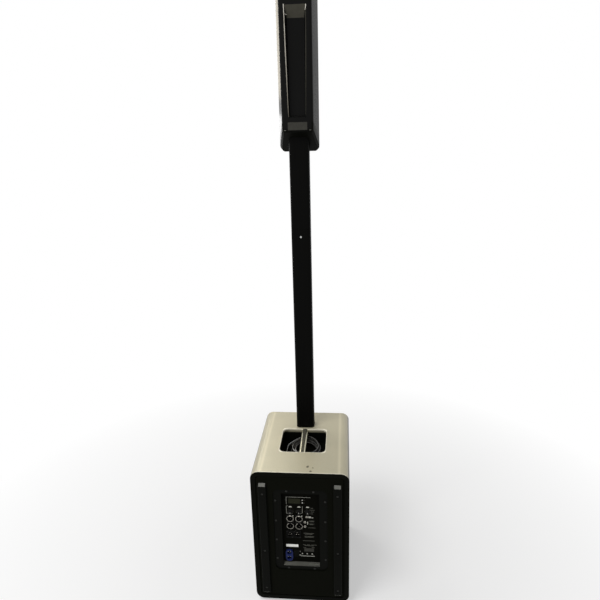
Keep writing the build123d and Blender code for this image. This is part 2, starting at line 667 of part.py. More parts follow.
def phono_block():
    """Middle and size of the block that carries the phono pair."""
    high, low = PHONO_DOWN
    return PHONO_X, TOP - (high + low) / 2, PHONO_BLOCK, low - high + PHONO_BLOCK


def aux_sockets():
    """Pair of phono sockets on one block, and a small jack socket."""
    x, z, width, height = phono_block()
    pair = prism_y(Pos(x, z) * Rectangle(width, height), PANEL_BACK - PHONO_DEEP, PANEL_FACE + 1)
    for px, pz in phono_places():
        pair += rod_y(px, pz, PHONO_RADIUS, PANEL_FACE, PANEL_FACE + PHONO_PROUD)
        pair -= rod_y(px, pz, PHONO_BORE, PANEL_FACE - 2, PANEL_FACE + PHONO_PROUD + 1)
    x, z = MINI_JACK[0], TOP - MINI_JACK[1]
    jack = rod_y(x, z, MINI_JACK_RADIUS, PANEL_BACK - PHONO_DEEP, PANEL_FACE + MINI_JACK_PROUD)
    jack -= rod_y(x, z, MINI_JACK_BORE, PANEL_FACE - 4, PANEL_FACE + MINI_JACK_PROUD + 1)
    return group([pair, jack])


def mains_body():
    """Width and height of the mains housing's body behind its flange."""
    return MAINS_WIDTH - 2 * MAINS_LAP, MAINS_HEIGHT - 2 * MAINS_LAP


def mains_inlet():
    """Mains inlet over a mains link outlet in one blue housing."""
    middle = Pos(MAINS_X, TOP - MAINS_DOWN)
    face = PANEL_FACE + MAINS_PROUD
    body = prism_y(middle * RectangleRounded(MAINS_WIDTH, MAINS_HEIGHT, MAINS_WIDTH / 2 - 0.01),
                   PANEL_FACE, face)
    body += prism_y(middle * Rectangle(*mains_body()), face - SOCKET_BODY_DEPTH, PANEL_FACE)
    for x, z in mains_centres():
        body -= rod_y(x, z, MAINS_BORE, face - SOCKET_BORE_DEPTH, face + 1)
    return body


def rocker_pivot():
    """y and z of the mains rocker's pivot."""
    return PANEL_FACE - ROCKER_PIVOT_DEEP, TOP - SWITCH_DOWN


def switch_box():
    """Width and height of the switch's box behind its frame."""
    sides, ends = SWITCH_LAP
    return SWITCH_WIDTH - 2 * sides, SWITCH_HEIGHT - 2 * ends


def switch_frame():
    """Frame and box of the mains switch."""
    middle = Pos(SWITCH_X, TOP - SWITCH_DOWN)
    box_width, box_height = switch_box()
    deep = PANEL_FACE - SWITCH_BOX_DEPTH
    frame = prism_y(middle * RectangleRounded(SWITCH_WIDTH, SWITCH_HEIGHT, 1.5), PANEL_FACE,
                    PANEL_FACE + SWITCH_PROUD)
    frame += prism_y(middle * Rectangle(box_width, box_height), deep, PANEL_FACE + 1)
    hole = middle * Rectangle(ROCKER_WIDTH + 2 * ROCKER_GAP, 2 * (ROCKER_REACH + ROCKER_END_GAP))
    return frame - prism_y(hole, deep + SWITCH_FLOOR, PANEL_FACE + SWITCH_PROUD + 1)


def mains_rocker():
    """Rocker of the mains switch, resting with its upper half pressed in."""
    y, z = rocker_pivot()
    side_view = Polygon((y + 9.5, z - ROCKER_REACH), (y + 7.5, z), (y + 9.5, z + ROCKER_REACH),
                        (y - 1, z + ROCKER_REACH - 3), (y - 6, z + 3), (y - 6, z - 3),
                        (y - 1, z - ROCKER_REACH + 3), align=None)
    rocker = prism_x(side_view, SWITCH_X - ROCKER_WIDTH / 2, SWITCH_X + ROCKER_WIDTH / 2)
    return rocker.rotate(Axis((SWITCH_X, y, z), (1, 0, 0)), ROCKER_TILT)


def panel_knob(x):
    """Control knob with a skirt, a tapered grip with flats, and its shaft."""
    low = PANEL_FACE + KNOB_LIFT
    skirt = prism_y(RegularPolygon(KNOB_RADIUS, KNOB_SIDES), low, low + KNOB_SKIRT)
    grip = prism_y(RegularPolygon(KNOB_RADIUS - KNOB_STEP, KNOB_SIDES), low, low + KNOB_HEIGHT)
    grip = chamfer(grip.faces().sort_by(Axis.Y)[-1].edges(), KNOB_CHAMFER)
    shaft = rod_y(0, 0, SHAFT_RADIUS, BOARD_FACE + 1, low + 1)
    return Pos(x, 0, TOP - KNOBS_DOWN) * (skirt + grip + shaft)


def control_board():
    """Board behind the panel's upper part, with the knobs' controls on it."""
    middle_x, down, width, height = CONTROL_BOARD
    board = prism_y(Pos(middle_x, TOP - down) * Rectangle(width, height),
                    BOARD_FACE - BOARD_THICKNESS, BOARD_FACE)
    for x in KNOBS_X:
        can = Pos(x, TOP - KNOBS_DOWN) * Rectangle(POT_WIDTH, POT_WIDTH)
        board += prism_y(can, BOARD_FACE - 0.5, PANEL_BACK)
        board -= rod_y(x, TOP - KNOBS_DOWN, SHAFT_RADIUS + SHAFT_GAP, BOARD_FACE + POT_CLEARANCE,
                       PANEL_BACK + 1)
    return board


def amp_board():
    """Power board on four hexagonal spacers behind the amplifier plate."""
    back = PLATE_FACE - PLATE_THICKNESS
    board_rear = back - POWER_BOARD_BEHIND
    width, height = POWER_BOARD
    middle = TOP - PLATE_TOP_DOWN - PLATE_HEIGHT / 2
    board = prism_y(Pos(0, middle) * Rectangle(width, height), board_rear - POWER_BOARD_THICKNESS,
                    board_rear)
    inset_x, inset_z = PILLAR_INSET
    for sx in (-1, 1):
        for sz in (-1, 1):
            place = Pos(sx * (width / 2 - inset_x), middle + sz * (height / 2 - inset_z))
            board += prism_y(place * RegularPolygon(PILLAR_RADIUS, 6), board_rear - 1, back)
    for x, z, block_width, block_height, deep in BOARD_BLOCKS:
        block = Pos(x, middle + z) * Rectangle(block_width, block_height)
        board += prism_y(block, board_rear - 1, board_rear + deep)
    return board


def heat_sink():
    """Finned heat sink on the inner side of the power board."""
    board_front = PLATE_FACE - PLATE_THICKNESS - POWER_BOARD_BEHIND - POWER_BOARD_THICKNESS
    middle = TOP - PLATE_TOP_DOWN - PLATE_HEIGHT / 2
    pitch = (SINK_WIDTH - SINK_FIN_THICKNESS) / (SINK_FINS - 1)
    section = Pos(0, board_front - SINK_BASE / 2) * Rectangle(SINK_WIDTH, SINK_BASE)
    for fin in range(SINK_FINS):
        x = (fin - (SINK_FINS - 1) / 2) * pitch
        section += Pos(x, board_front - SINK_DEPTH / 2) * Rectangle(SINK_FIN_THICKNESS, SINK_DEPTH)
    return prism_z(section, middle - SINK_HEIGHT / 2, middle + SINK_HEIGHT / 2)


# ---- front of the cabinet ------------------------------------------------------------------------
def port_places():
    return [(side * PORT_OFFSET, TOP - PORT_DOWN) for side in (-1, 1)]


def port_outline(grow=0.0):
    """Section of a port duct with bevelled corners, grown from its inside."""
    width, height = PORT_SIZE
    section = Rectangle(width + 2 * grow, height + 2 * grow)
    return chamfer(section.vertices(), PORT_CORNER + grow * (2 - sqrt(2)))


def front_baffle():
    """Front wall that carries the woofer and the port ducts."""
    sheet = inside_outline() - Pos(0, WOOFER_UP) * Circle(WOOFER_HOLE)
    for x, z in port_places():
        sheet -= Pos(x, z) * port_outline(PORT_WALL + PORT_HOLE_GAP)
    return prism_y(sheet, BAFFLE_FACE, BAFFLE_FACE + FRONT_BAFFLE_THICKNESS)


def woofer_basket():
    """Cast basket: front flange with a collar, slanted spokes and the plate behind them."""
    flange_face, collar_back = BAFFLE_FACE - WOOFER_FLANGE, BAFFLE_FACE + BASKET_RIM_DEPTH
    rim = WOOFER_HOLE - BASKET_RIM_GAP
    back_low = BASKET_BACK - BASKET_SKIN
    spoke_foot = BASKET_BACK_RADIUS - BASKET_SPOKE_FOOT
    front = rod_y(0, 0, WOOFER_HOLE + WOOFER_LAP, flange_face, BAFFLE_FACE)
    front += rod_y(0, 0, rim, BAFFLE_FACE - 1, collar_back)
    front -= rod_y(0, 0, rim - BASKET_SKIN, flange_face - 1, collar_back + 1)
    back = rod_y(0, 0, BASKET_BACK_RADIUS, back_low, BASKET_BACK)
    back -= rod_y(0, 0, COIL_GAP_OUT + BASKET_NECK_GAP, back_low - 1, BASKET_BACK + 1)
    spoke_view = Polygon((BAFFLE_FACE + 1, rim - BASKET_SKIN), (collar_back, rim),
                         (BASKET_BACK, BASKET_BACK_RADIUS), (BASKET_BACK, spoke_foot),
                         (back_low, spoke_foot), align=None)
    spoke = prism_x(spoke_view, -BASKET_SPOKE_WIDTH / 2, BASKET_SPOKE_WIDTH / 2)
    basket = front + back
    for n in range(BASKET_SPOKES):
        basket += spoke.rotate(Axis.Y, n * 360 / BASKET_SPOKES)
    return Pos(0, 0, WOOFER_UP) * basket


def woofer_magnet():
    """Ring magnet with its plates and the gap that the voice coil moves in."""
    front, back = BASKET_BACK, BASKET_BACK + MAGNET_LENGTH
    gap_floor = front + COIL_GAP_DEPTH
    return turned_y(0, WOOFER_UP, [
        (0, front), (COIL_GAP_IN, front), (COIL_GAP_IN, gap_floor), (COIL_GAP_OUT, gap_floor),
        (COIL_GAP_OUT, front), (MAGNET_RADIUS, front), (MAGNET_RADIUS, back - MAGNET_BEVEL),
        (MAGNET_RADIUS - MAGNET_BEVEL, back), (0, back)])


def woofer_cone():
    """Cone with its dust cap and voice-coil former, which move together."""
    edge = SURROUND_SEAT - CONE_SKIN
    neck = edge + CONE_DROP
    cap_face = neck - DUST_CAP_RISE
    coil_end = BASKET_BACK + COIL_GAP_DEPTH - FORMER_LIFT
    former = CONE_NECK - FORMER_WALL
    return turned_y(0, WOOFER_UP, [
        (0, cap_face), (CONE_NECK + DUST_CAP_LAP, cap_face), (CONE_EDGE, edge),
        (CONE_EDGE, edge + CONE_SKIN), (CONE_NECK, neck), (CONE_NECK, coil_end), (former, coil_end),
        (former, cap_face + CONE_SKIN), (0, cap_face + CONE_SKIN)])


def woofer_surround():
    """Rubber roll between the cone and the basket's flange."""
    inner = CONE_EDGE + SURROUND_GAP_IN
    outer = WOOFER_HOLE - BASKET_SKIN - SURROUND_GAP_OUT
    crown = SURROUND_SEAT - SURROUND_ROLL
    shoulder = (outer - inner) / 4
    return turned_y(0, WOOFER_UP, [
        (inner, SURROUND_SEAT), (inner + shoulder, crown), (outer - shoulder, crown),
        (outer, SURROUND_SEAT)])


def port_ducts():
    """Two port ducts with a lip on the front wall."""
    ducts = []
    for x, z in port_places():
        lip_face, end = BAFFLE_FACE - PORT_LIP_PROUD, BAFFLE_FACE + PORT_LENGTH
        lip = prism_y(port_outline(PORT_WALL + PORT_LIP), lip_face, BAFFLE_FACE)
        duct = lip + prism_y(port_outline(PORT_WALL), BAFFLE_FACE - 1, end)
        duct -= prism_y(port_outline(), lip_face - 1, end + 1)
        ducts.append(Pos(x, 0, z) * duct)
    return group(ducts)


def grille_pan(inset):
    """Solid inside one skin of the grille: a bevelled slab that fits between the walls."""
    face = FRONT - RAIL_PROUD + inset
    slab = prism_y(inside_outline(BAFFLE_GAP + inset), face, FRONT - RAIL_PROUD + GRILLE_DEPTH)
    return chamfer(slab.faces().sort_by(Axis.Y)[0].edges(), GRILLE_BEVEL)


def front_grille():
    """Steel grille like a shallow bevelled pan, pierced by tall windows."""
    face, back = FRONT - RAIL_PROUD, FRONT - RAIL_PROUD + GRILLE_DEPTH
    grille = grille_pan(0) - grille_pan(GRILLE_SHEET)
    width = CABINET_WIDTH - 2 * (WALL + GRILLE_BEVEL)
    height = CABINET_HEIGHT - FOOT_HEIGHT - 2 * (WALL + GRILLE_BEVEL)
    across, up = GRILLE_WINDOW + GRILLE_WEB, (height - GRILLE_WEB) / GRILLE_ROWS
    columns = int((width - GRILLE_WEB) // across)
    middle = FOOT_HEIGHT + (CABINET_HEIGHT - FOOT_HEIGHT) / 2
    windows = [Pos((column - (columns - 1) / 2) * across, middle + (row - (GRILLE_ROWS - 1) / 2) * up)
               * Rectangle(GRILLE_WINDOW, up - GRILLE_WEB)
               for column in range(columns) for row in range(GRILLE_ROWS)]
    return grille - prism_y(Sketch() + windows, face - 1, back - GRILLE_SHEET)


def feet():
    """Four rubber feet."""
    x, y = CABINET_WIDTH / 2 - FOOT_INSET, CABINET_DEPTH / 2 - FOOT_INSET
    return group([prism_z(Pos(sx * x, sy * y) * Circle(FOOT_RADIUS), 0, FOOT_HEIGHT)
                  for sx in (-1, 1) for sy in (-1, 1)])


# ---- stowed lead ---------------------------------------------------------------------------------
def cord_gland():
    """Cable gland in the tub's rear wall: sleeve, hexagonal cap nut and locknut."""
    x, z, wall = gland_place()
    tip = wall - GLAND_LENGTH
    locknut = wall + TUB_WALL
    place = Pos(x, z)
    gland = prism_y(place * Circle(GLAND_SLEEVE), tip, locknut + GLAND_TAIL)
    gland += prism_y(place * RegularPolygon(GLAND_NUT, 6), wall - GLAND_LENGTH * 0.6, wall)
    return gland + prism_y(place * RegularPolygon(GLAND_NUT, 6), locknut, locknut + GLAND_LOCKNUT)


def cord_tube(points):
    """Round lead along straight runs joined by tangent arcs. Prints its arcs and its volume."""
    vectors = [Vector(*p) for p in points]
    radii = []
    for before, here, after in zip(vectors, vectors[1:], vectors[2:]):
        turn = (here - before).get_angle(after - here)
        shorter = min((here - before).length, (after - here).length)
        radii.append(0.45 * shorter / tan(radians(turn) / 2))
    path = FilletPolyline(*points, radius=radii)
    start = Plane(origin=path @ 0, z_dir=path % 0)
    tube = sweep(start * Circle(CORD_DIAMETER / 2), path=path)
    ideal = pi * (CORD_DIAMETER / 2) ** 2 * path.length
    print("lead: length %.1f, arcs %s, volume %.0f of %.0f" % (
        path.length, ["%.0f" % r for r in radii], tube.volume, ideal))
    return tube


def cord_in_points():
    """Route from the gland down to the coil."""
    x, z, wall = gland_place()
    tip = wall - GLAND_LENGTH
    coil_x, from_middle = COIL_CENTRE
    meet_x, meet_y, meet_z = LEAD_MEETS_COIL
    return [(x, tip, z), (x, tip - 26, z),
            (coil_x + meet_x, WELL_Y + from_middle + meet_y, TUB_FLOOR + meet_z)]


def cord_out_points():
    """Route from the coil to the plug."""
    z = TUB_FLOOR + PLUG_RADIUS
    return [(PLUG_X - 15.5, PLUG_START_Y - 54, z + 4), (PLUG_X, PLUG_START_Y - 26, z),
            (PLUG_X, PLUG_START_Y, z)]


def link_cord_coil():
    """Outer shape of the coiled lead."""
    x, from_middle = COIL_CENTRE
    ring = Pos(x, WELL_Y + from_middle) * (Circle(COIL_OUTER) - Circle(COIL_INNER))
    return prism_z(ring, TUB_FLOOR, TUB_FLOOR + COIL_HEIGHT)


def link_plug():
    """Round lead plug: bend relief and barrel."""
    y, z = PLUG_START_Y, TUB_FLOOR + PLUG_RADIUS
    relief = rod_y(PLUG_X, z, PLUG_RELIEF, y, y + PLUG_RELIEF_LENGTH + 1)
    return relief + rod_y(PLUG_X, z, PLUG_RADIUS, y + PLUG_RELIEF_LENGTH, y + PLUG_LENGTH)


# ---- pole ----------------------------------------------------------------------------------------
def pole_tube(z_low, z_high):
    """Length of the pole's hollow profile."""
    return prism_z(pole_outline() - pole_outline(-POLE_WALL), z_low, z_high)


def end_edges(tube, z):
    """Outer edges of a tube's end at z."""
    face = tube.faces().filter_by(Axis.Z).sort_by(lambda f: abs(f.center().Z - z))[0]
    return face.outer_wire().edges()


def spigot_screw_z():
    return SEAM_Z - SPIGOT_SCREW_DOWN


def screw_hole(radius):
    """Bore through the whole pole at the spigot's screws."""
    return prism_y(Pos(0, spigot_screw_z()) * RegularPolygon(radius, SCREW_SIDES), POLE_Y - POLE_DEPTH,
                   POLE_Y + POLE_DEPTH)


def lower_pole():
    """Lower tube, with a hole front and back for the spigot's screws."""
    tube = pole_tube(POLE_FOOT_Z, SEAM_Z)
    tube = chamfer(end_edges(tube, SEAM_Z), SEAM_CHAMFER)
    return tube - screw_hole(SPIGOT_SCREW_RADIUS + 0.2)


def pole_foot():
    """Insert that closes the lower tube and takes the contact pins."""
    foot = prism_z(pole_outline(-POLE_WALL - JOINT_GAP), POLE_FOOT_Z, POLE_FOOT_Z + INSERT_LENGTH)
    holes = contact_pins(CONTACT_PIN_GAP, POLE_FOOT_Z - 1, POLE_FOOT_Z + CONTACT_PIN_HEIGHT + 1)
    for hole in holes:
        foot -= hole
    return foot


def pole_spigot():
    """Hollow spigot fixed in the lower tube, over which the upper tube slides."""
    outer = pole_outline(-POLE_WALL - JOINT_GAP)
    inner = pole_outline(-POLE_WALL - JOINT_GAP - SPIGOT_WALL)
    spigot = prism_z(outer - inner, SEAM_Z - SPIGOT_DOWN, SEAM_Z + SPIGOT_UP)
    spigot = chamfer(end_edges(spigot, SEAM_Z + SPIGOT_UP), 2)
    return spigot - screw_hole(SPIGOT_SCREW_RADIUS + 0.05)


def spigot_screws():
    """Two screws, front and back, that hold the spigot."""
    z = spigot_screw_z()
    head_radius, head_height = SPIGOT_SCREW_HEAD
    shank = Pos(0, z) * RegularPolygon(SPIGOT_SCREW_RADIUS, SCREW_SIDES)
    head = Pos(0, z) * RegularPolygon(head_radius, SCREW_SIDES)
    rear = POLE_DEPTH / 2
    inside = rear - POLE_WALL - JOINT_GAP - SPIGOT_WALL
    rear_screw = prism_y(shank, inside, rear) + prism_y(head, rear, rear + head_height)
    front_screw = mirror(rear_screw, Plane.XZ)
    return group([Pos(0, POLE_Y, 0) * rear_screw, Pos(0, POLE_Y, 0) * front_screw])


def upper_pole():
    """Upper tube."""
    tube = pole_tube(SEAM_Z, POLE_TOP_Z)
    return chamfer(end_edges(tube, SEAM_Z), SEAM_CHAMFER)


def pole_head():
    """Insert that closes the upper tube and takes the array's contact pins."""
    head = prism_z(pole_outline(-POLE_WALL - JOINT_GAP), POLE_TOP_Z - INSERT_LENGTH, POLE_TOP_Z)
    holes = contact_pins(CONTACT_PIN_GAP, POLE_TOP_Z - CONTACT_PIN_HEIGHT - 1, POLE_TOP_Z + 1)
    for hole in holes:
        head -= hole
    return head


# ---- line array ------------------------------------------------------------------------------------
def under_z(y):
    """Height of the array's slanted underside at a given y."""
    slope = (ARRAY_LOW_REAR - ARRAY_LOW_FRONT) / ARRAY_DEPTH
    return TOP + ARRAY_LOW_REAR + (y - ARRAY_BACK) * slope


def housing_outline(inset=0.0):
    """Rear part of the array's section: a flat back and two flared sides."""
    rear, wide = ARRAY_REAR_WIDTH / 2 - inset, ARRAY_WIDTH / 2 - inset
    outline = Polygon((-rear, ARRAY_BACK - inset), (rear, ARRAY_BACK - inset), (wide, ARRAY_WIDEST),
                      (-wide, ARRAY_WIDEST), align=None)
    return fillet(outline.vertices().sort_by(Axis.Y)[-2:], ARRAY_CORNER - inset)


def nose_outline(inset=0.0):
    """Front part of the section: the rounded nose that the grille follows."""
    wide, face = ARRAY_WIDTH / 2 - inset, ARRAY_FACE + inset
    outline = Polygon((-wide, ARRAY_WIDEST), (wide, ARRAY_WIDEST), (wide - ARRAY_NOSE_TAPER, face),
                      (-wide + ARRAY_NOSE_TAPER, face), align=None)
    return fillet(outline.vertices().sort_by(Axis.Y)[:2], ARRAY_NOSE - inset)


def below_slant(lift, z_low):
    """Everything under the slanted plane that lies a given height above the underside."""
    front, back = ARRAY_FACE - 20, ARRAY_BACK + 20
    wedge = Polygon((front, z_low), (back, z_low), (back, under_z(back) + lift),
                    (front, under_z(front) + lift), align=None)
    return prism_x(wedge, -ARRAY_WIDTH, ARRAY_WIDTH)


def pocket_body(grow=0.0):
    """The grip recess as a solid: tapered in width, with a short slope below and a long one above."""
    mouth_y, floor_y = ARRAY_BACK + 0.01, ARRAY_BACK - POCKET_DEPTH - grow

    def corners(low, high, low_width, high_width, y):
        return Polyline((-low_width / 2 - grow, y, low), (low_width / 2 + grow, y, low),
                        (high_width / 2 + grow, y, high), (-high_width / 2 - grow, y, high), close=True)

    low, high = TOP + POCKET_LOW - grow, TOP + POCKET_HIGH + grow
    mouth = make_face(corners(low, high, POCKET_LOW_WIDTH, POCKET_HIGH_WIDTH, mouth_y))
    floor = make_face(corners(low + POCKET_LOW_SLOPE, high - POCKET_HIGH_SLOPE, POCKET_FLOOR_LOW_WIDTH,
                              POCKET_FLOOR_HIGH_WIDTH, floor_y))
    return loft([mouth, floor], ruled=True)


def array_housing():
    """Moulded rear shell with the long tapered grip recess."""
    z_low, z_high = TOP + ARRAY_LOW_FRONT, ARRAY_TOP_Z - ARRAY_TOP_CAP
    shell = prism_z(housing_outline(), z_low, z_high)
    mouth = Pos(0, ARRAY_WIDEST) * Rectangle(ARRAY_WIDTH - 2 * ARRAY_SKIN, 1)
    core = housing_outline(ARRAY_SKIN) + mouth
    shell -= prism_z(core, z_low - 1, z_high + 1)
    shell += pocket_body(ARRAY_SKIN)
    shell -= pocket_body()
    return shell - below_slant(ARRAY_BOTTOM_CAP, z_low - 1)


def array_bottom_cap():
    """Slanted lower cap: a plain raised field behind, and the socket that drops over the pole."""
    low = TOP + ARRAY_LOW_FRONT
    block = prism_z(housing_outline() + nose_outline(), low - 1, low + 200)
    cap = (block & below_slant(ARRAY_BOTTOM_CAP, low - 40)) - below_slant(0, low - 50)
    under = cap.faces().sort_by(lambda f: f.normal_at(f.center()).Z)[0]
    cap = chamfer([e for e in under.edges() if e.center().Y < ARRAY_BACK - 1], ARRAY_BOTTOM_BEVEL)
    pad_middle = under_z(ARRAY_BACK) + ARRAY_BOTTOM_CAP / 2
    pad = Pos(0, pad_middle) * Rectangle(PLATE_PAD_WIDTH, PLATE_PAD_HEIGHT)
    cap += prism_y(pad, ARRAY_BACK - 1, ARRAY_BACK + PLATE_PAD_PROUD)
    stop = POLE_TOP_Z
    sleeve = prism_z(pole_outline(POLE_GAP + ARRAY_SKIN), low - 1, stop + ARRAY_SKIN)
    cap += sleeve - below_slant(ARRAY_BOTTOM_CAP - 1, low - 50)
    cap -= prism_z(pole_outline(POLE_GAP), low - 50, stop)
    for pin in contact_pins(0, stop - CONTACT_PIN_HEIGHT, stop + 1):
        cap += pin
    return cap


def array_top_cap():
    """Flat top cap with a bevelled rim."""
    cap = prism_z(housing_outline() + nose_outline(), ARRAY_TOP_Z - ARRAY_TOP_CAP, ARRAY_TOP_Z)
    return chamfer(cap.faces().sort_by(Axis.Z)[-1].edges(), ARRAY_TOP_BEVEL)


def driver_heights():
    """Axis heights of the small drivers, in one even row under the top cap."""
    top_one = ARRAY_TOP_Z - ARRAY_TOP_CAP - DRIVER_ROW_END - DRIVER_PITCH / 2
    return [top_one - n * DRIVER_PITCH for n in range(DRIVER_COUNT)]


def array_baffle():
    """Strip that carries the row of small drivers."""
    half = ARRAY_WIDTH / 2 - ARRAY_SKIN - ARRAY_BAFFLE_GAP
    low = driver_heights()[-1] - DRIVER_PITCH / 2
    high = ARRAY_TOP_Z - ARRAY_TOP_CAP
    sheet = Pos(0, (low + high) / 2) * Rectangle(2 * half, high - low)
    for z in driver_heights():
        sheet -= Pos(0, z) * Circle(DRIVER_CAN_RADIUS + DRIVER_HOLE_GAP)
    return prism_y(sheet, ARRAY_WIDEST, ARRAY_WIDEST + ARRAY_BAFFLE_THICKNESS)


def array_drivers():
    """Small drivers: a square front frame and a round can, open in front of the cone."""
    face, frame = ARRAY_WIDEST, ARRAY_WIDEST - DRIVER_FRAME_THICKNESS
    bore = DRIVER_CAN_RADIUS - DRIVER_CAN_WALL
    drivers = []
    for z in driver_heights():
        driver = prism_y(Pos(0, z) * Rectangle(DRIVER_FRAME, DRIVER_FRAME), frame, face)
        driver += rod_y(0, z, DRIVER_CAN_RADIUS, face - 1, face + DRIVER_CAN_DEPTH)
        drivers.append(driver - rod_y(0, z, bore, frame - 1, face + DRIVER_CAN_MOUTH))
    return group(drivers)


def array_cones():
    """Moving cones of the small drivers: dished in front, flat behind."""
    front = ARRAY_WIDEST - DRIVER_FRAME_THICKNESS + DRIVER_CONE_SET_BACK
    back = front + DRIVER_CONE_THICKNESS
    radius = DRIVER_CAN_RADIUS - DRIVER_CAN_WALL - DRIVER_HOLE_GAP
    half = [(0, front + DRIVER_CONE_DISH), (radius, front), (radius, back), (0, back)]
    return group([turned_y(0, z, half) for z in driver_heights()])


def array_grille():
    """Wrap-round pierced grille of the array."""
    z_low, z_high = TOP + ARRAY_LOW_FRONT, ARRAY_TOP_Z - ARRAY_TOP_CAP
    slit = Pos(0, ARRAY_WIDEST) * Rectangle(ARRAY_WIDTH - 2 * GRILLE_SHEET, 1)
    grille = prism_z(nose_outline() - nose_outline(GRILLE_SHEET) - slit, z_low - 1, z_high)
    grille -= below_slant(ARRAY_BOTTOM_CAP, z_low - 10)
    windows = Sketch()
    pitch = ARRAY_GRILLE_WINDOW + GRILLE_WEB
    low = under_z(ARRAY_FACE) + ARRAY_BOTTOM_CAP + GRILLE_WEB
    rows = int((z_high - low) // pitch)
    for row in range(rows):
        z = low + ARRAY_GRILLE_WINDOW / 2 + row * (z_high - low) / rows
        for side in (-1, 1):
            windows += Pos(side * pitch / 2, z) * Rectangle(ARRAY_GRILLE_WINDOW, ARRAY_GRILLE_WINDOW)
    return grille - prism_y(windows, ARRAY_FACE - 1, ARRAY_FACE + GRILLE_SHEET + 1)


# ---- nodes -----------------------------------------------------------------------------------------
def build():
    """Every sub-part under its node name."""
    combos, _ = panel_items()
    parts = {
        "cabinet_sleeve": cabinet_sleeve(), "top_cap": top_cap(), "carry_bar": carry_bar(),
        "well_tub": well_tub(), "pole_socket": pole_socket(), "socket_contacts": socket_contacts(),
        "rear_bezel": rear_bezel(), "rear_baffle": rear_baffle(), "skid_rails": skid_rails(),
        "rear_screws": rear_screws(), "amp_plate": amp_plate(), "panel_sill": panel_sill(),
        "control_panel": control_panel(), "display_window": display_window(),
        "status_lenses": status_lenses(), "link_sockets": link_sockets(), "aux_sockets": aux_sockets(),
        "mains_inlet": mains_inlet(), "switch_frame": switch_frame(), "mains_rocker": mains_rocker(),
        "control_board": control_board(), "amp_board": amp_board(), "heat_sink": heat_sink(),
        "front_baffle": front_baffle(), "woofer_basket": woofer_basket(), "woofer_magnet": woofer_magnet(),
        "woofer_cone": woofer_cone(), "woofer_surround": woofer_surround(), "port_ducts": port_ducts(),
        "front_grille": front_grille(), "feet": feet(), "cord_gland": cord_gland(),
        "link_cord_in": cord_tube(cord_in_points()), "link_cord_coil": link_cord_coil(),
        "link_cord_out": cord_tube(cord_out_points()), "link_plug": link_plug(),
        "lower_pole": lower_pole(), "pole_foot": pole_foot(), "pole_spigot": pole_spigot(),
        "spigot_screws": spigot_screws(), "upper_pole": upper_pole(), "pole_head": pole_head(),
        "array_housing": array_housing(), "array_bottom_cap": array_bottom_cap(),
        "array_top_cap": array_top_cap(), "array_baffle": array_baffle(),
        "array_drivers": array_drivers(), "array_cones": array_cones(), "array_grille": array_grille(),
    }
    for n, (x, z) in enumerate(combos, 1):
        parts["combo_socket_%d" % n] = combo_socket(x, z)
        parts["latch_tab_%d" % n] = latch_tab(x, z)
    for name, x in zip(("level_knob_1", "level_knob_2", "encoder_knob"), KNOBS_X):
        parts[name] = panel_knob(x)
    return parts


def main():
    os.makedirs("parts", exist_ok=True)
    for name, shape in build().items():
        export_step(shape, "parts/%s.step" % name)


if __name__ == "__main__":
    main()
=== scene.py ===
from math import cos, pi, radians, sin, sqrt

import bmesh
import bpy
from bpy.props import FloatProperty, FloatVectorProperty, IntProperty, PointerProperty
from mathutils import Euler, Matrix, Vector


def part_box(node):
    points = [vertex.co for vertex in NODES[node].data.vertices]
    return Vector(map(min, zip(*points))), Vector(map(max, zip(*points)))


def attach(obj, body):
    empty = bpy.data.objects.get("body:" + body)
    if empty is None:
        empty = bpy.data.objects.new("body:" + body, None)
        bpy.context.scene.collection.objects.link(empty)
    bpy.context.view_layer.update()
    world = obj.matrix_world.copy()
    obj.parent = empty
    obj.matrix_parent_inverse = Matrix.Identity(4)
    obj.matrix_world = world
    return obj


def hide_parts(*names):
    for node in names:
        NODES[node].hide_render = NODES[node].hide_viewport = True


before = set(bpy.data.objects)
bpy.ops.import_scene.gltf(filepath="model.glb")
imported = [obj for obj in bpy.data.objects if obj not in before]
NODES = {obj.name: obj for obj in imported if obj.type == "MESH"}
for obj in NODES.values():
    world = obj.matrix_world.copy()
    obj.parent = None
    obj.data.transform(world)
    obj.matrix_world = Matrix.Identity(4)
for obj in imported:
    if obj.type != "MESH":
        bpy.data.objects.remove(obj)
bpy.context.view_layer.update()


bl_info = {
    "name": "Column PA System",
    "version": (1, 0, 0),
    "blender": (4, 5, 0),
    "location": "View3D > Sidebar > Column PA",
    "description": "Finishes a column loudspeaker system: bass cabinet, stowed lead, pole and array",
    "category": "Object",
}

MM = 0.001


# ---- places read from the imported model, in millimetres -------------------------------------------
def span(node):
    """Lowest and highest corner of a node, in millimetres."""
    low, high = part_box(node)
    return low / MM, high / MM


def middle_and_size(node):
    """Middle and size of a node, in millimetres."""
    low, high = span(node)
    return (low + high) / 2, high - low


TOP = span("top_cap")[1].z
REAR = span("rear_bezel")[1].y
PANEL_FACE = span("control_panel")[1].y
RAIL_FACE = span("skid_rails")[1].y
TUB_FLOOR = span("link_plug")[0].z
NOSE_LOW, NOSE_HIGH = span("array_grille")


# ---- colour and nodes ----------------------------------------------------------------------------
def linear(code):
    """Linear colour of an sRGB hex code, with alpha."""
    levels = [int(code[i:i + 2], 16) / 255 for i in (0, 2, 4)]
    return (*[c / 12.92 if c <= 0.04045 else ((c + 0.055) / 1.055) ** 2.4 for c in levels], 1.0)


def wire(node, links):
    """Sets inputs, by name or number, to a value, a hex colour, an output, or a node's first output in use."""
    for key, value in links.items():
        if isinstance(value, bpy.types.Node):
            value = next(output for output in value.outputs if output.enabled)
        if isinstance(value, bpy.types.NodeSocket):
            node.id_data.links.new(value, node.inputs[key])
        else:
            node.inputs[key].default_value = linear(value) if isinstance(value, str) else value
    return node


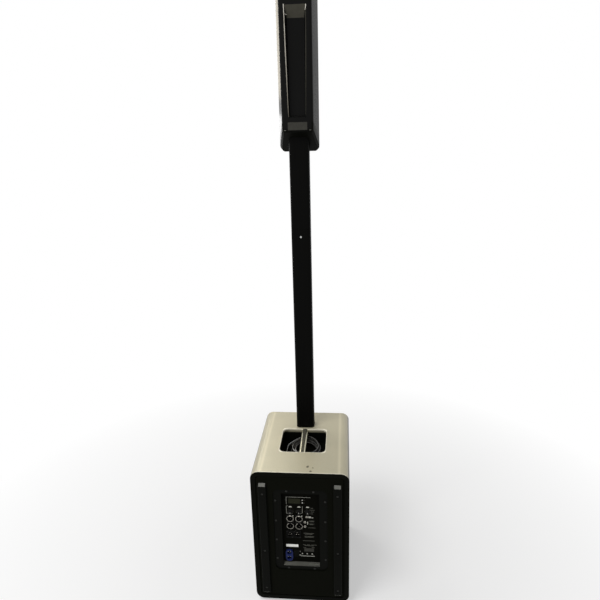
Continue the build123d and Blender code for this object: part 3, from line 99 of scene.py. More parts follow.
def add(tree, kind, links, **settings):
    """Adds a node with its settings and links."""
    node = tree.nodes.new("ShaderNode" + kind)
    for name, value in settings.items():
        setattr(node, name, value)
    return wire(node, links)


def empty_material(name, values):
    """Material with values on its shader's own sockets, and the coordinates of the piece in metres."""
    material = bpy.data.materials.new(name)
    material.use_nodes = True
    tree = material.node_tree
    place = add(tree, "TexCoord", {}).outputs["Object"]
    return material, tree, wire(tree.nodes["Principled BSDF"], values), place


# ---- materials -----------------------------------------------------------------------------------
MATT = "Specular IOR Level"     # low on the blacks, whose fine texture swallows most of the shine

# Finishes with a fine grain in relief and a slow drift of colour. A row holds the colour, the colour that it
# drifts to, metallic, roughness, how far the roughness varies, the width and the height of the grain and the
# width of the drifts in millimetres, and what else is set; stretch pulls the grain along an axis.
FINISHES = {
    # Two-part black structure paint, rolled on plywood.
    # Small rounded pimples 1.8 mm apart break the light into a dull, even black.
    "structure_paint": ("0F100A", "0B0C07", 0.0, 0.6, 0.1, 1.8, 0.22, 90.0, {MATT: 0.02}),
    # Satin alkyd enamel, brushed on the board's edge.
    # Long faint brush marks and a soft shine on the rounded edge.
    "edge_enamel": ("0C0D08", "080905", 0.0, 0.4, 0.08, 1.2, 0.03, 60.0, {"stretch": (1.0, 1.0, 6.0), MATT: 0.03}),
    # ABS, injection moulded in a spark-eroded tool.
    # An even fine grain. It is 0.2 mm in the tool and is drawn at 0.8 mm so that it shows.
    "moulded_abs": ("0C0D09", "080906", 0.0, 0.42, 0.08, 0.8, 0.05, 70.0, {MATT: 0.04}),
    # ABS, injection moulded in a polished tool.
    # A deep gloss: dark face on, and bright where the faces turn away and mirror their surroundings.
    "polished_abs": ("121211", "0D0D0D", 0.0, 0.28, 0.05, 2.5, 0.012, 90.0, {MATT: 0.06}),
    # Painted highlight: near-white on ABS corners, standing in for glints of light.
    # Small hooked glints at the corners of the recess.
    "white_painted_glint": ("F4F1E6", "E4E0D2", 0.0, 0.15, 0.05, 1.0, 0.01, 20.0),
    # Painted reflection on ABS: warm grey on the slope at the top of the recess,
    # and on the recess's right edge, standing in for light mirrored there.
    "warm_painted_reflection": ("4A483F", "3B3932", 0.0, 0.6, 0.12, 1.6, 0.05, 18.0, {MATT: 0.1}),
    # Painted highlight: grey on black ABS for the lamp's light on the rails' sloped ends and the ledges' glints.
    # Fine grey streaks across the slopes that the cabinet slides on.
    "grey_painted_highlight": ("7F7F77", "5A5A53", 0.0, 0.5, 0.1, 0.7, 0.03, 9.0, {"stretch": (4.0, 1.0, 1.0)}),
    # ABS field, moulded in a coarse etched tool.
    # A rough grey-brown ground that scatters the light evenly.
    "textured_field": ("3D3C36", "2D2C28", 0.0, 0.7, 0.06, 2.2, 0.25, 12.0, {MATT: 0.2}),
    # Metallic lacquer over an aluminium bar, polished by hands.
    # Smoother and more mirror-like than the top, so it mirrors the dark pole behind it.
    "bar_lacquer": ("C9C5AE", "B2AE98", 0.85, 0.14, 0.08, 1.0, 0.012, 25.0, {"stretch": (1.0, 0.15, 1.0)}),
    # Metallic lacquer, painted pale on the rounded edges as a highlight.
    # Paler and glossier than the flat top, which it frames with a bright painted highlight line.
    "rim_painted_highlight": ("F3EDD8", "E2DCC6", 0.1, 0.22, 0.06, 1.5, 0.02, 50.0),
    # Polycarbonate overlay, screen printed on its back and textured in front.
    # A close velvet texture with almost no shine under the white print.
    "panel_film": ("0A0A06", "070704", 0.0, 0.55, 0.05, 0.6, 0.015, 50.0, {MATT: 0.02}),
    # Aluminium strip, brushed lengthways and clear anodised.
    # Fine lines along the strip draw the light out sideways.
    "brushed_aluminium": ("3A3A36", "262623", 1.0, 0.38, 0.12, 0.5, 0.01, 30.0, {"stretch": (0.04, 1.0, 1.0)}),
    # Nickel plating on turned brass.
    # Bright rings with faint turning marks.
    "satin_nickel": ("D8D4C8", "BDB9AE", 1.0, 0.2, 0.06, 0.4, 0.004, 12.0),
    # Steel, stamped and bright zinc plated.
    # A cool shine with slow cloudy spangle.
    "zinc_steel": ("C9CBC9", "A6A8A6", 1.0, 0.3, 0.1, 0.6, 0.006, 6.0),
    # Steel screws, black zinc plated.
    # Dark metal whose edges catch a thin glint.
    "black_zinc": ("3A3A38", "262624", 1.0, 0.42, 0.1, 0.5, 0.01, 5.0),
    # Glass-filled nylon, moulded.
    # Slightly cloudy black with a low sheen from the fibres at its surface.
    "socket_nylon": ("080808", "0C0C0B", 0.0, 0.4, 0.08, 0.7, 0.012, 5.0, {MATT: 0.05}),
    # Blue nylon, moulded.
    # An even deep blue with a soft shine on the rim of each cup.
    "blue_nylon": ("1A2862", "141E4C", 0.0, 0.42, 0.08, 0.7, 0.012, 12.0, {MATT: 0.15}),
    # ABS knob with a soft-touch polyurethane coat.
    # Velvety black that turns grey at grazing angles.
    "soft_touch": ("0F0F0F", "0A0A0A", 0.0, 0.55, 0.06, 0.5, 0.01, 8.0,
                   {"Sheen Weight": 0.05, "Sheen Roughness": 0.4, MATT: 0.15}),
    # White epoxy ink, screen printed.
    # Matte off-white with a slightly uneven film.
    "print_ink": ("DADACF", "B4B4A9", 0.0, 0.7, 0.05, 0.5, 0.004, 6.0),
    # Grey epoxy ink, screen printed thin.
    # Low contrast lines on the dark overlay.
    "faint_ink": ("7A7A70", "55554D", 0.0, 0.7, 0.05, 0.5, 0.004, 6.0),
    # White vinyl film, matt laminated, left bare.
    # Slightly yellowed at random, with a matt surface.
    "label_vinyl": ("FFFFFB", "F6F6EE", 0.0, 0.6, 0.06, 1.0, 0.01, 14.0),
    # Diffusing polycarbonate lens, moulded.
    # Milky and glossy, a touch darker in its thicker middle.
    "lamp_lens": ("D9D9D2", "BEBEB4", 0.0, 0.18, 0.04, 0.6, 0.004, 3.0,
                  {"IOR": 1.58, "Subsurface Weight": 0.2, "Subsurface Radius": (0.001, 0.001, 0.001)}),
    # Aluminium, cast and left as blasted.
    # A dull pale metal with a sandy surface.
    "cast_aluminium": ("A9A9AB", "8F8F92", 1.0, 0.5, 0.1, 1.0, 0.05, 20.0),
    # Sintered ferrite ring between zinc-plated plates.
    # Near-black and slightly sandy.
    "ferrite": ("2B2B2E", "222224", 0.3, 0.55, 0.1, 1.0, 0.04, 20.0),
    # Paper pulp cone, pressed and doped.
    # Short fibres show through a thin black coat.
    "coated_paper": ("1B1B1B", "242422", 0.0, 0.7, 0.08, 1.4, 0.12, 25.0, {"stretch": (1.0, 1.0, 0.4)}),
    # Butyl rubber, compression moulded.
    # Deep matte black with a slight bloom.
    "butyl_rubber": ("141414", "1C1C1B", 0.0, 0.72, 0.08, 1.0, 0.02, 30.0),
    # Soft PVC sheath, extruded.
    # Black, with a bright gloss along each turn where it mirrors the light over the well.
    "cord_sheath": ("161615", "1E1E1C", 0.0, 0.18, 0.08, 1.2, 0.012, 30.0,
                    {"IOR": 1.54, "Coat Weight": 1.0, "Coat Roughness": 0.1}),
    # Zinc plug shell, die cast and satin chromed black.
    # Dark shell whose edges flash bright where it is handled.
    "plug_shell": ("B9B6AC", "9A978E", 1.0, 0.22, 0.08, 0.8, 0.01, 10.0),
    # Perforated steel sheet, powder coated.
    # Fine orange peel on the webs between the holes.
    "grille_enamel": ("161616", "101010", 0.0, 0.5, 0.08, 0.9, 0.03, 60.0),
}


def grained(name, colour, drift, metallic, roughness, spread, grain, height, patch, more=()):
    """Makes the material of one row of the finishes."""
    more = dict(more)
    stretch = more.pop("stretch", None)
    material, tree, shader, place = empty_material(
        name, {"Base Color": colour, "Metallic": metallic, "Roughness": roughness, **more})
    along = add(tree, "Mapping", {"Vector": place, "Scale": stretch}) if stretch else place
    fine = add(tree, "TexNoise", {"Vector": along, "Scale": 1 / (grain * MM), "Detail": 2.0, "Roughness": 0.6})
    slow = add(tree, "TexNoise", {"Vector": place, "Scale": 1 / (patch * MM), "Detail": 3.0})
    wire(shader, {
        "Base Color": add(tree, "Mix", {"Factor": slow, "A": colour, "B": drift}, data_type="RGBA"),
        "Roughness": add(tree, "MapRange", {"Value": fine, "To Min": max(0.02, roughness - spread),
                                            "To Max": min(1.0, roughness + spread)}),
        "Normal": add(tree, "Bump", {"Height": fine, "Strength": 1.0, "Distance": height * MM})})
    return material


ROLL_LINE = 139.0               # middle to the line where the top starts to roll over, with a painted highlight along it
# Chips in the lacquer: x, y from the cabinet's middle and radius, in millimetres.
CHIPS = ((-28.5, 169.5, 3.0), (-26.5, 174.5, 4.4), (-46.0, 179.5, 2.8), (-39.0, 199.5, 4.2), (98.0, 206.0, 1.6))


def champagne_lacquer(settings):
    """Metallic lacquer, sprayed over sealed board and satin baked."""
    # Flakes sparkle finely, the coat drifts between warm and grey, and small chips near the rear edge show
    # the dark primer, as does the thin overspray low on the rolled edges. A pale band along the roll line is a
    # painted highlight. Real flakes are under 0.1 mm and are drawn at 0.9 mm to show.
    material, tree, shader, place = empty_material(
        "champagne_lacquer", {"Metallic": 0.25, "Coat Weight": 0.25, "Coat Roughness": 0.3})
    red, green, blue = settings.coat_colour
    flake = add(tree, "TexVoronoi", {"Vector": place, "Scale": 1 / (0.9 * MM)})
    slow = add(tree, "TexNoise", {"Vector": place, "Scale": 1 / (120 * MM), "Detail": 4.0})
    base = add(tree, "Mix", {"Factor": slow, "A": (red, green, blue, 1.0),
                             "B": (red * 0.84, green * 0.86, blue * 0.88, 1.0)}, data_type="RGBA")
    sparkle = add(tree, "MapRange", {"Value": flake.outputs["Color"], "To Min": 0.9, "To Max": 1.08})
    lit = add(tree, "Mix", {"Factor": 1.0, "A": base, "B": sparkle}, data_type="RGBA", blend_type="MULTIPLY")
    worn = None
    for x, y, radius in CHIPS:
        away = add(tree, "VectorMath", {0: place, 1: (x * MM, y * MM, TOP * MM)}, operation="DISTANCE")
        inside = add(tree, "Math", {0: away, 1: radius * MM}, operation="LESS_THAN")
        worn = add(tree, "Math", {0: worn, 1: inside}, operation="MAXIMUM") if worn else inside
    ragged = add(tree, "TexNoise", {"Vector": place, "Scale": 1 / (2.2 * MM), "Detail": 2.0})
    bitten = add(tree, "Math", {0: ragged, 1: 0.38}, operation="GREATER_THAN")
    chip = add(tree, "Math", {0: worn, 1: bitten}, operation="MULTIPLY")
    chipped = add(tree, "Mix", {"Factor": chip, "A": lit, "B": "38341F"}, data_type="RGBA")
    sides = add(tree, "SeparateXYZ", {0: place}).outputs
    off_highlight_line = add(tree, "Math", {0: sides["X"]}, operation="ABSOLUTE")
    off_highlight_line = add(tree, "Math", {0: off_highlight_line, 1: ROLL_LINE * MM}, operation="SUBTRACT")
    off_highlight_line = add(tree, "Math", {0: off_highlight_line}, operation="ABSOLUTE")
    # Painted highlight: a pale band, E2DABD, within 8 mm either side of the roll line.
    band = add(tree, "MapRange", {"Value": off_highlight_line, "From Min": 0.0, "From Max": 8 * MM, "To Min": 0.35,
                                  "To Max": 0.0})
    pale = add(tree, "Mix", {"Factor": band, "A": chipped, "B": "E2DABD"}, data_type="RGBA")
    low = add(tree, "MapRange", {"Value": sides["Z"], "From Min": (TOP - 17) * MM, "From Max": (TOP - 12) * MM})
    peel = add(tree, "TexNoise", {"Vector": place, "Scale": 1 / (1.6 * MM), "Detail": 1.0})
    wire(shader, {
        "Base Color": add(tree, "Mix", {"Factor": low, "A": "24231C", "B": pale}, data_type="RGBA"),
        "Roughness": add(tree, "MapRange", {"Value": slow, "To Min": 0.36, "To Max": 0.5}),
        "Normal": add(tree, "Bump", {"Height": peel, "Strength": 1.0, "Distance": 0.03 * MM})})
    return material


def powder_coat(settings):
    """Aluminium extrusion, black powder coated."""
    # Fine leather-like peel 1 mm across and a soft upright highlight on the rounded corners.
    material, tree, shader, place = empty_material("powder_coat", {MATT: 0.03})
    colour = settings.pole_colour
    peel = add(tree, "TexNoise", {"Vector": place, "Scale": 1 / (1.0 * MM), "Detail": 2.0})
    streak = add(tree, "Mapping", {"Vector": place, "Scale": (1.0, 1.0, 0.05)})
    drag = add(tree, "TexNoise", {"Vector": streak, "Scale": 1 / (9 * MM), "Detail": 3.0})
    wire(shader, {
        "Base Color": add(tree, "Mix", {"Factor": drag, "A": (*colour, 1.0),
                                        "B": (*[level * 0.7 for level in colour], 1.0)}, data_type="RGBA"),
        "Roughness": add(tree, "MapRange", {"Value": drag, "To Min": 0.34, "To Max": 0.5}),
        "Normal": add(tree, "Bump", {"Height": peel, "Distance": 0.02 * MM})})
    return material


def painted_edge_highlight(settings):
    """ABS edge, painted pale as a highlight."""
    # A satin line, a painted highlight that is brightest at the top of the recess and fades towards its lower end.
    material, tree, shader, place = empty_material("painted_edge_highlight", {"Roughness": 0.25})
    height = add(tree, "SeparateXYZ", {0: place}).outputs["Z"]
    share = add(tree, "MapRange", {"Value": height, "From Min": 1760 * MM, "From Max": 2075 * MM})
    drift = add(tree, "TexNoise", {"Vector": place, "Scale": 1 / (14 * MM), "Detail": 2.0})
    highlight_tone = add(tree, "Mix", {"Factor": share, "A": "4A4436", "B": "EFEBDD"}, data_type="RGBA")
    wire(shader, {"Base Color": add(tree, "Mix", {"Factor": drift, "A": highlight_tone, "B": "8C8578"}, data_type="RGBA")})
    return material


def display_glass(settings):
    """Acrylic window over an unlit olive liquid-crystal display."""
    # A dark olive depth under a smooth shine, with the faint rows of the display behind it.
    material, tree, shader, place = empty_material("display_glass", {"Roughness": 0.12, "IOR": 1.49, MATT: 0.05})
    rows = add(tree, "TexWave", {"Vector": place, "Scale": 1 / (1.4 * MM) / 6.283, "Distortion": 0.0},
               bands_direction="Z").outputs["Fac"]
    wire(shader, {"Base Color": add(tree, "Mix", {"Factor": rows, "A": "25261A", "B": "2B2C1F"}, data_type="RGBA")})
    return material


def circuit_board(settings):
    """Glass-epoxy board with green solder mask."""
    # Tracks and pads show as a finer, lighter network under the mask.
    material, tree, shader, place = empty_material("circuit_board", {"Roughness": 0.35})
    tracks = add(tree, "TexBrick", {"Vector": place, "Color1": "1F5A34", "Color2": "19502D", "Mortar": "4C8A57",
                                    "Scale": 1 / (14 * MM), "Mortar Size": 0.03}).outputs
    wire(shader, {"Base Color": tracks["Color"],
                  "Normal": add(tree, "Bump", {"Height": tracks["Fac"], "Distance": 0.04 * MM})})
    return material


MAKERS = {maker.__name__: maker for maker in (champagne_lacquer, powder_coat, painted_edge_highlight, display_glass,
                                              circuit_board)}
MATERIALS = {}


def finish(name):
    """The material of a finish, made once."""
    if name not in MATERIALS:
        if name in FINISHES:
            MATERIALS[name] = grained(name, *FINISHES[name])
        else:
            MATERIALS[name] = MAKERS[name](bpy.context.scene.column_pa.finish)
    return MATERIALS[name]


# ---- shapes: each is a list of corners and a list of faces ---------------------------------------
def loft(rings, closed=False):
    """Skin over rings with the same number of corners. It has flat ends or, closed, ends where it began."""
    n, count = len(rings[0]), len(rings)
    faces = [[i * n + k, i * n + (k + 1) % n, (i + 1) % count * n + (k + 1) % n, (i + 1) % count * n + k]
             for i in range(count if closed else count - 1) for k in range(n)]
    if not closed:
        faces += [list(range(n))[::-1], list(range(n * count - n, n * count))]
    return [corner for ring in rings for corner in ring], faces


def prism(outline, low, high, axis="Y"):
    """Prism of a flat outline between two places on an axis. The outline holds the other two axes in order."""
    return loft([[(t, a, b) if axis == "X" else (a, t, b) for a, b in outline] for t in (low, high)])


def rounded(x, z, width, height, radius=0.0, steps=5):
    """Outline of a rectangle, with rounded corners where a radius is given."""
    if not radius:
        return [(x + sx * width / 2, z + sz * height / 2) for sx, sz in ((-1, -1), (1, -1), (1, 1), (-1, 1))]
    points = []
    for quarter, (sx, sz) in enumerate(((1, -1), (1, 1), (-1, 1), (-1, -1))):
        for k in range(steps + 1):
            a = radians(90 * (quarter - 1 + k / steps))
            points.append((x + sx * (width / 2 - radius) + radius * cos(a),
                           z + sz * (height / 2 - radius) + radius * sin(a)))
    return points


def around(x, z, radius, angles):
    """Points (x, z) on a circle round a centre, at angles in degrees."""
    return [(x + radius * cos(radians(a)), z + radius * sin(radians(a))) for a in angles]


def turned(x, z, profile, steps=40, start=0.0, sweep=360.0):
    """Body turned about an axis along Y. The profile holds (radius, y); under 360 degrees it has flat ends."""
    angles = [radians(start + sweep * i / steps) for i in range(steps + (sweep < 360))]
    return loft([[(x + r * cos(a), y, z + r * sin(a)) for r, y in profile] for a in angles], sweep >= 360)


def ring(x, z, inner, outer, low, high, round_off=0.4, steps=40, start=0.0, sweep=360.0):
    """Ring about an axis along Y with rounded front edges."""
    ease, step = round_off * 0.3, high - round_off
    return turned(x, z, [(inner, low), (outer, low), (outer, step), (outer - ease, high - ease),
                         (outer - round_off, high), (inner + round_off, high), (inner + ease, high - ease),
                         (inner, step)], steps, start, sweep)


def pin(x, z, radius, low, high, tip, steps):
    """Round pin along Y. Its tip is how deep the chamfer's start, its end and the point lie under the high end."""
    start, end, point = (high - depth for depth in tip)
    return turned(x, z, [(0.0, low), (radius, low), (radius, start), (radius - 0.5, end), (0.0, point)], steps)


def tube(points, radius, sides=10):
    """Round bar along a line of points in millimetres."""
    points = [Vector(p) for p in points]
    side, rings = (points[1] - points[0]).orthogonal(), []
    for i, p in enumerate(points):
        along = (points[min(i + 1, len(points) - 1)] - points[max(i - 1, 0)]).normalized()
        side = (side - along * side.dot(along)).normalized()
        up = along.cross(side)
        rings.append([tuple(p + radius * (side * cos(2 * pi * k / sides) + up * sin(2 * pi * k / sides)))
                      for k in range(sides)])
    return loft(rings)


def frame_shape(outer, inner, low, high):
    """Flat frame between two outlines with the same number of points, between two y values."""
    return loft([[(x0, low, z0), (x1, low, z1), (x1, high, z1), (x0, high, z0)]
                 for (x0, z0), (x1, z1) in zip(outer, inner)], closed=True)


def strip(outer, inner, lows, highs):
    """Upright band between two lines of (x, y) points, with its own low and high z at each point."""
    return loft([[(x0, y0, low), (x0, y0, high), (x1, y1, high), (x1, y1, low)]
                 for (x0, y0), (x1, y1), low, high in zip(outer, inner, lows, highs)])


def line(x0, z0, x1, z1, width, low, high):
    """Straight printed line between two points of the panel."""
    along = Vector((x1 - x0, z1 - z0)).normalized() * width / 2
    side = Vector((-along.y, along.x))
    a, b = Vector((x0, z0)) - along, Vector((x1, z1)) + along
    return prism([tuple(p) for p in (a - side, b - side, b + side, a + side)], low, high)


def perforated(path, low, high, pitch, hole):
    """Sheet of hexagonal cells, each with a hexagonal hole, laid over a path of (x, y) points from low to high z."""
    path, lengths = [Vector(p) for p in path], [0.0]
    for a, b in zip(path, path[1:]):
        lengths.append(lengths[-1] + (b - a).length)

    def at(distance):
        k = next((k for k in range(1, len(path)) if distance <= lengths[k]), len(path) - 1)
        return path[k - 1].lerp(path[k], (distance - lengths[k - 1]) / (lengths[k] - lengths[k - 1]))

    corners, faces = [], []
    reach, row_step = pitch / sqrt(3), pitch * sqrt(3) / 2
    rows, columns = int((high - low - reach * 2) / row_step), int((lengths[-1] - pitch) / pitch)
    side_margin, end_margin = (lengths[-1] - columns * pitch) / 2, (high - low - rows * row_step) / 2
    for row in range(rows + 1):
        for column in range(columns + 1 - row % 2):
            start = len(corners)
            for radius in (reach, hole / 2):
                for s, z in around(side_margin + (column + row % 2 / 2) * pitch, low + end_margin + row * row_step,
                                   radius, range(30, 390, 60)):
                    corners.append((*at(min(max(s, 0.0), lengths[-1])), z))
            faces += [[start + k, start + (k + 1) % 6, start + 6 + (k + 1) % 6, start + 6 + k] for k in range(6)]
    return corners, faces


# ---- pieces --------------------------------------------------------------------------------------
def make_piece(name, slot, parts, bevel=0.0, body="cabinet", replaces=(), merge=1e-6):
    """One piece from shapes listed under the names of their finishes, welded and closed, riding on a body."""
    corners, faces, indices = [], [], []
    for index, shapes in enumerate(parts.values()):
        for shape_corners, shape_faces in shapes:
            faces += [[len(corners) + k for k in face] for face in shape_faces]
            corners += shape_corners
            indices += [index] * len(shape_faces)
    mesh = bpy.data.meshes.new(name)
    mesh.from_pydata([[c * MM for c in corner] for corner in corners], [], faces)
    for key in parts:
        mesh.materials.append(finish(key))
    mesh.polygons.foreach_set("material_index", indices)
    weld(mesh, merge)
    piece = bpy.data.objects.new(name, mesh)
    bpy.context.scene.collection.objects.link(piece)
    smooth_edges(piece, bevel)
    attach(piece, body)
    if replaces:
        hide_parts(*replaces)
    return piece


def weld(mesh, merge):
    """Joins corners that meet, drops faces without area and turns all faces outwards."""
    work = bmesh.new()
    work.from_mesh(mesh)
    bmesh.ops.remove_doubles(work, verts=work.verts, dist=merge)
    bmesh.ops.dissolve_degenerate(work, edges=work.edges, dist=merge)
    bmesh.ops.recalc_face_normals(work, faces=work.faces)
    work.to_mesh(mesh)
    work.free()


def smooth_edges(piece, width, angle=32.0):
    """Smooth shading with a narrow rounded bevel on every edge sharper than the angle."""
    piece.data.polygons.foreach_set("use_smooth", [True] * len(piece.data.polygons))
    if width:
        bevel = piece.modifiers.new("edge", "BEVEL")
        bevel.width, bevel.segments, bevel.limit_method = width * MM, 2, "ANGLE"
        bevel.angle_limit, bevel.harden_normals = radians(angle), True
    piece.modifiers.new("split", "EDGE_SPLIT").split_angle = radians(angle + 8)


def make_sheet(name, slot, parts, thickness=0.9, **more):
    """Perforated sheet as one piece with a real thickness, half of it to each side."""
    solid = make_piece(name, slot, parts, merge=1e-5, **more).modifiers.new("thickness", "SOLIDIFY")
    solid.thickness, solid.offset = thickness * MM, 0.0


def dress(names, key, bevel=0.0):
    """Gives the CAD nodes named in one line their finish and, where it shows, rounded edges."""
    for name in names.split():
        node = NODES[name]
        node.data.materials.clear()
        node.data.materials.append(finish(key))
        if node.data.attributes.get("custom_normal"):
            node.data.attributes.remove(node.data.attributes["custom_normal"])
        node.modifiers.new("weld", "WELD").merge_threshold = 0.01 * MM
        flat = node.modifiers.new("flat", "DECIMATE")
        flat.decimate_type, flat.angle_limit = "DISSOLVE", radians(0.4)
        smooth_edges(node, bevel)


def recoat(name, key, test):
    """Gives a second finish to those faces of a CAD node whose normal passes the test."""
    mesh = NODES[name].data
    mesh.materials.append(finish(key))
    for polygon in mesh.polygons:
        if test(polygon.normal):
            polygon.material_index = len(mesh.materials) - 1


# ---- settings ------------------------------------------------------------------------------------
class FinishSettings(bpy.types.PropertyGroup):
    coat_colour: FloatVectorProperty(
        name="Coat", description="Colour of the lacquer on the top", subtype="COLOR", size=3,
        default=linear("B9B195")[:3], min=0.0, max=1.0)
    pole_colour: FloatVectorProperty(
        name="Pole", description="Colour of the pole's powder coat", subtype="COLOR", size=3,
        default=linear("0B0B0A")[:3], min=0.0, max=1.0)
    edge: FloatProperty(
        name="Edge", description="Rounding of the moulded edges in millimetres", default=0.6, min=0.1, max=2.0)


class LeadSettings(bpy.types.PropertyGroup):
    diameter: FloatProperty(
        name="Diameter", description="Thickness of the sheath", default=7.5 * MM, unit="LENGTH")
    steps: IntProperty(
        name="Points a turn", description="Points of the line in each turn of the coil", default=14, min=12)


class PrintSettings(bpy.types.PropertyGroup):
    line_width: FloatProperty(
        name="Line width", description="Width of a printed line in millimetres", default=0.8, min=0.2)
    film: FloatProperty(
        name="Ink height", description="Height of the ink over the panel in millimetres", default=0.12, min=0.02)
    sticker_width: FloatProperty(
        name="Sticker width", description="Width of the bare sticker in millimetres", default=45.0)
    sticker_height: FloatProperty(
        name="Sticker height", description="Height of the bare sticker in millimetres", default=11.5)


class GrilleSettings(bpy.types.PropertyGroup):
    front_pitch: FloatProperty(
        name="Front pitch", description="Distance between the front grille's holes in millimetres", default=8.0)
    front_hole: FloatProperty(
        name="Front hole", description="Width of the front grille's holes in millimetres", default=5.6)
    array_pitch: FloatProperty(
        name="Array pitch", description="Distance between the array grille's holes in millimetres", default=5.0)
    array_hole: FloatProperty(
        name="Array hole", description="Width of the array grille's holes in millimetres", default=3.5)


class StageSettings(bpy.types.PropertyGroup):
    eye: FloatVectorProperty(
        name="Eye", description="Place of the camera", subtype="TRANSLATION", size=3,
        default=(-0.1571, 1.7432, 1.6647))
    heading: FloatProperty(
        name="Heading", description="Turn of the view from straight ahead", subtype="ANGLE", default=radians(5.17))
    dip: FloatProperty(
        name="Dip", description="Angle of the view below the horizon", subtype="ANGLE", default=radians(16.82))
    roll: FloatProperty(
        name="Roll", description="Tilt of the camera about its view", subtype="ANGLE", default=radians(1.45))
    lens: FloatProperty(
        name="Lens", description="Focal length on a 36 mm sensor, in millimetres", default=30.86)
    key: FloatProperty(
        name="Key lamp", description="Power of the large lamp overhead", default=124.0, min=0.0)
    rim: FloatProperty(
        name="Side lamp", description="Power of the tall lamp at the side", default=4.2, min=0.0)
    back: FloatProperty(
        name="Back lamp", description="Power of the tall lamp behind the array", default=4.6, min=0.0)
    sky: FloatProperty(
        name="Sky", description="Strength of the even light from all around", default=0.3, min=0.0)


class ColumnSettings(bpy.types.PropertyGroup):
    finish: PointerProperty(type=FinishSettings)
    lead: PointerProperty(type=LeadSettings)
    print: PointerProperty(type=PrintSettings)
    grille: PointerProperty(type=GrilleSettings)
    stage: PointerProperty(type=StageSettings)


class Undoable:
    """Shared by the operators, so that each can be undone."""
    bl_options = {"REGISTER", "UNDO"}


# ---- stage ---------------------------------------------------------------------------------------
FLOOR_REACH = 40.0              # half the floor's side, in metres
FLOOR_GLOW = 0.45               # share of white in the floor near the cabinet
FLOOR_WHITE_FROM, FLOOR_WHITE_TO = 0.55, 1.7    # where the floor turns into the backdrop, in metres


def bare_tree(owner):
    """Empty node tree of a material or world, and a node that is 1 for camera, glossy and transmission rays."""
    owner.use_nodes = True
    tree = owner.node_tree
    tree.nodes.clear()
    ray = add(tree, "LightPath", {}).outputs
    seen = add(tree, "Math", {0: ray["Is Camera Ray"], 1: ray["Is Glossy Ray"]}, operation="MAXIMUM")
    return tree, add(tree, "Math", {0: seen, 1: ray["Is Transmission Ray"]}, operation="MAXIMUM")


class SetStage(Undoable, bpy.types.Operator):
    """Make the floor, the backdrop, the lamps and the camera"""
    bl_idname = "column_pa.set_stage"
    bl_label = "Stage"

    def execute(self, context):
        scene, stage = context.scene, context.scene.column_pa.stage
        scene.view_settings.view_transform = "Standard"
        self.make_camera(scene, stage)
        self.make_floor()
        self.make_world(scene, stage)
        self.make_lamp("key_lamp", (1.7, 2.0, 4.5), (0.0, 0.0, 0.8), 2.2, 2.2, stage.key)
        self.make_lamp("side_lamp", (0.6, -0.8, 1.5), (0.0, 0.0, 0.57), 0.5, 0.8, stage.rim)
        back = self.make_lamp("back_lamp", (0.88, -2.43, 2.52), (0.06, -0.1, 1.95), 0.5, 1.0, stage.back)
        back.color = linear("FFF3DA")[:3]
        return {"FINISHED"}

    @staticmethod
    def make_camera(scene, stage):
        camera = bpy.data.objects.new("camera", bpy.data.cameras.new("camera"))
        aim = Euler((pi / 2 - stage.dip, 0.0, pi + stage.heading)).to_matrix().to_4x4()
        camera.matrix_world = Matrix.Translation(stage.eye) @ aim @ Matrix.Rotation(-stage.roll, 4, "Z")
        camera.data.lens, camera.data.sensor_width = stage.lens, 36.0
        scene.collection.objects.link(camera)
        scene.camera = camera

    @staticmethod
    def make_floor():
        """White paper that keeps the object's shadow and turns into the white backdrop away from it."""
        mesh = bpy.data.meshes.new("floor")
        r = FLOOR_REACH
        mesh.from_pydata([(-r, -r, 0), (r, -r, 0), (r, r, 0), (-r, r, 0)], [], [[0, 1, 2, 3]])
        floor = bpy.data.objects.new("floor", mesh)
        bpy.context.scene.collection.objects.link(floor)
        material = bpy.data.materials.new("studio_paper")
        tree, seen = bare_tree(material)
        place = add(tree, "NewGeometry", {}).outputs["Position"]
        away = add(tree, "VectorMath", {0: place}, operation="LENGTH")
        far = add(tree, "MapRange", {"Value": away, "From Min": FLOOR_WHITE_FROM, "From Max": FLOOR_WHITE_TO,
                                     "To Min": FLOOR_GLOW, "To Max": 1.0})
        white = add(tree, "Math", {0: far, 1: seen}, operation="MULTIPLY")
        paper = add(tree, "BsdfDiffuse", {"Color": "F6F6F6"})
        glow = add(tree, "Emission", {"Color": "FFFFFF", "Strength": 1.0})
        add(tree, "OutputMaterial", {"Surface": add(tree, "MixShader", {0: white, 1: paper, 2: glow})})
        mesh.materials.append(material)

    @staticmethod
    def make_world(scene, stage):
        """Even light all around, which shows as plain white."""
        scene.world = bpy.data.worlds.new("studio")
        tree, seen = bare_tree(scene.world)
        sky, white = (add(tree, "Background", {"Color": "FFFFFF", "Strength": s}) for s in (stage.sky, 1.0))
        add(tree, "OutputWorld", {"Surface": add(tree, "MixShader", {0: seen, 1: sky, 2: white})})

    @staticmethod
    def make_lamp(name, place, aim, width, height, power):
        """Rectangular lamp that the camera doesn't see."""
        light = bpy.data.lights.new(name, "AREA")
        light.shape, light.size, light.size_y, light.energy = "RECTANGLE", width, height, power
        lamp = bpy.data.objects.new(name, light)
        lamp.location = place
        lamp.rotation_euler = (Vector(aim) - Vector(place)).to_track_quat("-Z", "Y").to_euler()
        lamp.visible_camera = False
        bpy.context.scene.collection.objects.link(lamp)
        return light


# ---- stowed lead ---------------------------------------------------------------------------------
COIL_MIDDLE = (-8.0, -17.0)
COIL_BASE = 3.75                # middle of the lowest turns over the tub's floor
COIL_LIFT = 11.0                # how far the springy upper turns stand up on the side of the pole
